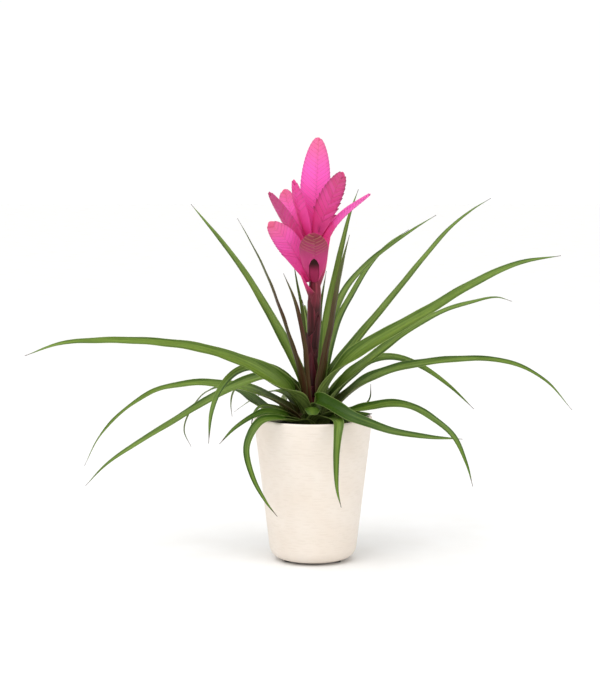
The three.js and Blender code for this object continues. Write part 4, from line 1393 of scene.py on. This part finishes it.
class Quill:
    """A quill's middle line, outline and thickness, and how its bracts lie and are coloured."""

    def __init__(self, node):
        foot, self.width, self.broadest, self.thickness, heading, facing, *rest = QUILLS[node]
        route, self.dull, self.coral, self.smooth, self.tone = rest
        self.habit = QUILL_HABIT | QUILL_HABITS.get(node, {})
        outward = plan_direction(*heading)
        if foot is None:
            x, y, top = STALK[-1]
            start = (x, y, top - TOP_QUILL_SUNK)
        else:
            start = stalk_foot(foot, outward, QUILL_CLEARANCE)
        self.ribbon = Ribbon([start, *route], outward, facing, QUILL_RINGS, turned_to=BACK)
        self.length = self.ribbon.length

    def half(self, distance):
        """Half the width of the outline at a distance along."""
        t = np.clip(distance / self.length, 0, 1)
        rise = np.sin(np.minimum(t / self.broadest, 1) * math.pi / 2)
        past = np.clip((t - self.broadest) / (1 - self.broadest), 0, 1)
        share = mix(0.3, 1.0, rise) * np.maximum((1 - past**2) ** 0.6, 0.04)
        return self.width / 2 * share - 0.55 * np.minimum(share, 1)

    def deep(self, distance):
        """Half the thickness at the middle line at a distance along."""
        t = np.clip(distance / self.length, 0, 1)
        return self.thickness / 2 * np.interp(t, (0, 0.35, 0.75, 1), (0.55, 0.85, 0.5, 0.12))

    def skin(self, distance, x, side, proud):
        """A point of the lens-shaped body at x across, on one face, standing proud of it."""
        half, deep = self.half(distance), self.deep(distance)
        share = np.clip(np.abs(x) / np.maximum(half, 0.05), 0, 1)
        y = side * deep * (1 - share**2) ** 0.8
        out = share**4
        nx, ny = np.sign(x) * out, side * (1 - out)
        size = np.sqrt(nx**2 + ny**2)
        return self.ribbon.place(distance, x + nx / size * proud, y + ny / size * proud)


def add_folded_bract(shells, quill, side, tip_mm, low_mm, gauge, rng, seed):
    """One keeled bract of a quill, folded over its edge and lying on the one above it.

    It reaches from low_mm along the quill to tip_mm. The lowest has a low_mm of 0.
    """
    habit, tip = quill.habit, tip_mm / quill.length
    tooth = (0.1 + 0.8 * (1 - tip) ** 2) * habit["toothed"]
    hold = mix(1.3, 0.45, tip)
    drop = habit["chevron"] * float(quill.half(tip_mm)) * rng.uniform(0.94, 1.06)
    q = FOLD_COLUMNS if side > 0 else FOLD_COLUMNS[::-1]
    rows = max(FEWEST_FOLD_ROWS, round((tip_mm - low_mm) / FOLD_STEP))
    level = np.linspace(0, 1, rows)[:, None] ** 0.8
    margin = np.maximum(tip_mm - drop * np.abs(q) ** 0.82, 1.4)
    low = np.clip(low_mm + 0 * q, 0.2, margin - 1)
    if low_mm == 0:
        arch = 1 - ((1 - np.abs(q)) / ARCH_SHARE) ** 2
        low = np.maximum(habit["bare"] * np.sqrt(np.maximum(arch, 0)), 0.2)
        low = np.minimum(low, margin - 3)
    distance = np.clip(low + (margin - low) * level, 0.2, quill.length - 0.05)
    x = side * quill.half(distance) * (1 - np.abs(q) * 1.1)
    below = margin - distance
    proud = 0.12 + gauge + 0.62 * np.clip(1 - below / 6.5, 0, 1) * hold
    proud = proud + tooth * bump_at(q, 0.1) * level**5 + (0.15 if side > 0 else 0.0)
    if low_mm == 0 and habit["bare"]:
        proud = proud + 1.1 * bump_at(distance - low, 2.5) * np.abs(q)
    face = np.where(q > 0, -1.0, 1.0)
    t = distance / quill.length
    shift = rng.uniform(-0.1, 0.1)
    middle = bump_at(1 - np.abs(q), 0.22)
    # The dark value at the keels: partly their own dark red, partly painted shadow at the teeth.
    shells.add_strip(
        quill.skin(distance, x, face, proud),
        quill.skin(distance, x, face, proud - gauge),
        along=mix(habit["bright"], 1, t),
        margin=below,
        tone=np.clip(quill.tone + shift + habit["deepened"] * (1 - ease(t, 0.4, 0.78)), 0, 1),
        faded=quill.dull * np.clip(0.45 + 0.5 * ease(t, 0.35, 0.95) + 0.5 * shift, 0, 1),
        coral=quill.coral * (0.9 * ease(t, 0.62, 1.0) + 0.18 * middle * ease(t, 0.3, 0.8)),
        dark=habit["crimson"] * np.exp(-((q / 0.16) ** 2) - below / 3.5),
        fibres=vectors_of(np.abs(q) * quill.half(distance) * 1.6, distance, seed),
    )


def add_core(shells, quill):
    """The body under a quill's bracts, and its bare foot, dark with painted shadow under them."""
    distance = np.linspace(0, quill.length - 0.3, CORE_RINGS)[:, None]
    x = CORE_COLUMNS * quill.half(distance)
    t, dark, bare = distance / quill.length, 0.0, quill.habit["bare"]
    if bare:
        # Painted shadow over its own crimson, deepest just below where the lowest bracts overhang
        # it.
        dark = 0.3 + 0.7 * ease(distance, bare * 0.4, bare * 0.8)
        dark = dark * (1 - ease(distance, bare, bare + 4))
    shells.add_strip(
        quill.skin(distance, x, 1.0, 0.0),
        quill.skin(distance, x, -1.0, 0.0),
        along=mix(quill.habit["bright"], 1, t * 0.6),
        margin=FAR_FROM_MARGIN,
        tone=1.0 if bare else mix(0.5, 0.9, quill.tone),
        faded=quill.dull * (mix(0.5, 0.95, ease(t, 0.5, 0.7)) if bare else 0.35 + 0.5 * t),
        coral=quill.coral * ease(t, 0.62, 1.0) * 0.9,
        dark=dark,
        fibres=vectors_of(x, distance, CORE_FIBRES),
    )


def build_quill(node, index, finish, look):
    """One quill: two rows of folded bracts over a flat body."""
    quill = Quill(node)
    habit = quill.habit
    rng = random.Random(QUILL_DRAWS + index)
    shells = Shells()
    add_core(shells, quill)
    spacing = look.bract_spacing / MM * habit["closeness"]
    gauge = look.bract_thickness / MM
    for side in (-1, 1):
        tip_mm = quill.smooth * quill.length + (spacing / 2 if side > 0 else 0)
        low_mm, seed = 0, QUILL_FIBRES * index
        while tip_mm < quill.length - 0.4:
            add_folded_bract(shells, quill, side, tip_mm, low_mm, gauge, rng, seed)
            opening = mix(habit["opening"], 0.75, tip_mm / quill.length)
            step = spacing * opening * rng.uniform(0.92, 1.08)
            low_mm = tip_mm - 1.2 * step - habit["chevron"] * quill.width / 2
            low_mm = max(low_mm, habit["bare"] + 2)
            tip_mm += step
            seed += 1
    shells.make(node.replace("quill", "quill_spike"), finish, "flower_bract", node)


# ---------- the stage ----------

# Where the camera stands and how far it looks down, in metres and degrees, its lens and
# sensor in millimetres, and the nearest and farthest that it sees, in metres.
CAMERA_PLACE = (-0.01315, -2.0, 0.44)
CAMERA_DOWN = 6.458
CAMERA_LENS = 102.69
CAMERA_SENSOR = 36
CAMERA_REACH = (0.05, 100)

# Each lamp: where it stands and what it points at in metres, and its width and height.
KEY_LAMP = ((-1.3, -1.7, 1.5), (0, 0, 0.2), (1.6, 1.2))
FILL_LAMP = ((1.6, -1.2, 0.9), (0, 0, 0.2), (1.4, 1.4))
# The overhead light: how wide it looks, and how it is turned, in degrees.
SUN_SPREAD = 70
SUN_TURN = (12, -8, 0)
# The floor's half width and how far it lies below the pads, in metres.
FLOOR_HALF = 9.0
FLOOR_DROP = 0.0004
# How bright the walls are, and between which upward directions they give way to the ceiling.
WALLS = (1.02, 1.02, 1.02, 1)
CEILING_FROM, CEILING_TO = 0.08, 0.22


def add_sun(name, strength):
    """An even light from overhead that reaches the whole floor, as soft as a cloudy sky."""
    lamp = bpy.data.lights.new(name, "SUN")
    lamp.energy = strength
    lamp.angle = math.radians(SUN_SPREAD)
    place_object(name, lamp).rotation_euler = [math.radians(turn) for turn in SUN_TURN]


def add_lamp(name, placing, watts):
    """A large soft lamp that stands at one place and points at another."""
    place, target, size = placing
    lamp = bpy.data.lights.new(name, "AREA")
    lamp.shape = "RECTANGLE"
    lamp.size, lamp.size_y = size
    lamp.energy = watts
    stand = place_object(name, lamp)
    stand.location = place
    stand.rotation_euler = (Vector(target) - Vector(place)).to_track_quat("-Z", "Y").to_euler()


def add_camera():
    camera = bpy.data.cameras.new("camera")
    camera.sensor_width = CAMERA_SENSOR
    camera.lens = CAMERA_LENS
    camera.clip_start, camera.clip_end = CAMERA_REACH
    stand = place_object("camera", camera)
    stand.location = CAMERA_PLACE
    stand.rotation_euler = (math.radians(90 - CAMERA_DOWN), 0, 0)
    bpy.context.scene.camera = stand


def build_floor(look):
    """A wide, flat sheet of paper on the floor."""
    corners = [
        (x * FLOOR_HALF, y * FLOOR_HALF, -FLOOR_DROP)
        for x, y in ((-1, -1), (1, -1), (1, 1), (-1, 1))
    ]
    mesh = bpy.data.meshes.new("studio_floor")
    mesh.from_pydata(corners, [], [(0, 1, 2, 3)])
    mesh.materials.append(floor_finish(look))
    floor = place_object("studio_floor", mesh)


def build_room(look):
    """White walls that meet the floor, and a softer white ceiling."""
    world = bpy.data.worlds.new("white_room")
    bpy.context.scene.world = world
    world.use_nodes = True
    tree = world.node_tree
    height = add_node(tree, "height", add_node(tree, "direction"))
    overhead = add_node(tree, "remap", height, CEILING_FROM, CEILING_TO)
    ceiling = (look.sky, look.sky, look.sky, 1)
    white = add_node(tree, "blend", overhead, WALLS, ceiling)
    connect(tree, tree.nodes["Background"], {"Color": white})


# ---------- operators ----------


class BROMELIAD_OT_pot(Operator):
    """Makes the glazed cover pot with its pressed dashes"""

    bl_idname = "bromeliad.pot"
    bl_label = "Cover Pot"

    def execute(self, context):
        build_pot(context.scene.bromeliad.pot)
        return {"FINISHED"}


class BROMELIAD_OT_pads(Operator):
    """Makes the three rubber pads that the pot stands on"""

    bl_idname = "bromeliad.pads"
    bl_label = "Rubber Pads"

    def execute(self, context):
        build_pads()
        return {"FINISHED"}


class BROMELIAD_OT_medium(Operator):
    """Makes the peat with its crumbs, and finishes the nursery pot and the stem"""

    bl_idname = "bromeliad.medium"
    bl_label = "Growing Medium"

    def execute(self, context):
        build_medium(context.scene.bromeliad.pot)
        for node, finish in (("nursery_pot", nursery_plastic_finish()), ("crown", stem_finish())):
            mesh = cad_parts[node].data
            mesh.materials.clear()
            mesh.materials.append(finish)
        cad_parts["nursery_pot"].data.shade_flat()
        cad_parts["crown"].data.shade_smooth()
        return {"FINISHED"}


class BROMELIAD_OT_leaves(Operator):
    """Makes the rosette of strap leaves"""

    bl_idname = "bromeliad.leaves"
    bl_label = "Leaves"

    def execute(self, context):
        look = context.scene.bromeliad.leaves
        finish = leaf_finish(look)
        for index, node in enumerate(LEAVES):
            build_leaf(node, index, finish, look)
        return {"FINISHED"}


class BROMELIAD_OT_stalk(Operator):
    """Makes the flower stalk and the bracts that sheathe it"""

    bl_idname = "bromeliad.stalk"
    bl_label = "Flower Stalk"

    def execute(self, context):
        finish = stalk_finish(context.scene.bromeliad.flower)
        build_stalk(finish)
        for seed, (node, shape) in enumerate(STALK_BRACTS.items(), SCALE_FIBRES):
            build_stalk_bract(node.replace("bract", "scale"), shape, finish, seed, node)
        for seed, (name, shape) in enumerate(STALK_SHEATHS.items(), SHEATH_FIBRES):
            build_stalk_bract(name, shape, finish, seed)
        return {"FINISHED"}


class BROMELIAD_OT_quills(Operator):
    """Makes the pink quills and the boat-shaped bracts below them"""

    bl_idname = "bromeliad.quills"
    bl_label = "Quills"

    def execute(self, context):
        look = context.scene.bromeliad.flower
        finish = bract_finish(look)
        for index, node in enumerate(QUILLS):
            build_quill(node, index, finish, look)
        for seed, node in enumerate(QUILL_BRACTS, BOAT_FIBRES):
            build_quill_bract(node, finish, seed)
        return {"FINISHED"}


class BROMELIAD_OT_stage(Operator):
    """Makes the floor, the white room, the soft lamps and the camera"""

    bl_idname = "bromeliad.stage"
    bl_label = "Studio Stage"

    def execute(self, context):
        look = context.scene.bromeliad.stage
        build_floor(look)
        build_room(look)
        add_lamp("key_lamp", KEY_LAMP, look.key_watts)
        add_lamp("fill_lamp", FILL_LAMP, look.fill_watts)
        add_sun("overhead_light", look.overhead)
        add_camera()
        context.scene.view_settings.view_transform = "Standard"
        return {"FINISHED"}


class BROMELIAD_PT_panel(Panel):
    """The bromeliad's pieces and settings"""

    bl_idname = "BROMELIAD_PT_panel"
    bl_label = "Potted Bromeliad"
    bl_space_type = "VIEW_3D"
    bl_region_type = "UI"
    bl_category = "Bromeliad"

    def draw(self, context):
        settings = context.scene.bromeliad
        for title, group, operators in (
            ("Pot", settings.pot, (BROMELIAD_OT_pot, BROMELIAD_OT_pads, BROMELIAD_OT_medium)),
            ("Leaves", settings.leaves, (BROMELIAD_OT_leaves,)),
            ("Flower", settings.flower, (BROMELIAD_OT_stalk, BROMELIAD_OT_quills)),
            ("Stage", settings.stage, (BROMELIAD_OT_stage,)),
        ):
            box = self.layout.box()
            box.label(text=title)
            for key in type(group).__annotations__:
                box.prop(group, key)
            for operator in operators:
                box.operator(operator.bl_idname)


class BromeliadSettings(PropertyGroup):
    pot: PointerProperty(type=PotSettings)
    leaves: PointerProperty(type=LeafSettings)
    flower: PointerProperty(type=FlowerSettings)
    stage: PointerProperty(type=StageSettings)


CLASSES = (
    PotSettings,
    LeafSettings,
    FlowerSettings,
    StageSettings,
    BromeliadSettings,
    BROMELIAD_OT_pot,
    BROMELIAD_OT_pads,
    BROMELIAD_OT_medium,
    BROMELIAD_OT_leaves,
    BROMELIAD_OT_stalk,
    BROMELIAD_OT_quills,
    BROMELIAD_OT_stage,
    BROMELIAD_PT_panel,
)


def register():
    for made in CLASSES:
        bpy.utils.register_class(made)
    bpy.types.Scene.bromeliad = PointerProperty(type=BromeliadSettings)


def unregister():
    del bpy.types.Scene.bromeliad
    for made in reversed(CLASSES):
        bpy.utils.unregister_class(made)


def main():
    register()
    bpy.ops.bromeliad.pot()
    bpy.ops.bromeliad.pads()
    bpy.ops.bromeliad.medium()
    bpy.ops.bromeliad.leaves()
    bpy.ops.bromeliad.stalk()
    bpy.ops.bromeliad.quills()
    bpy.ops.bromeliad.stage()


if __name__ == "__main__":
    main()
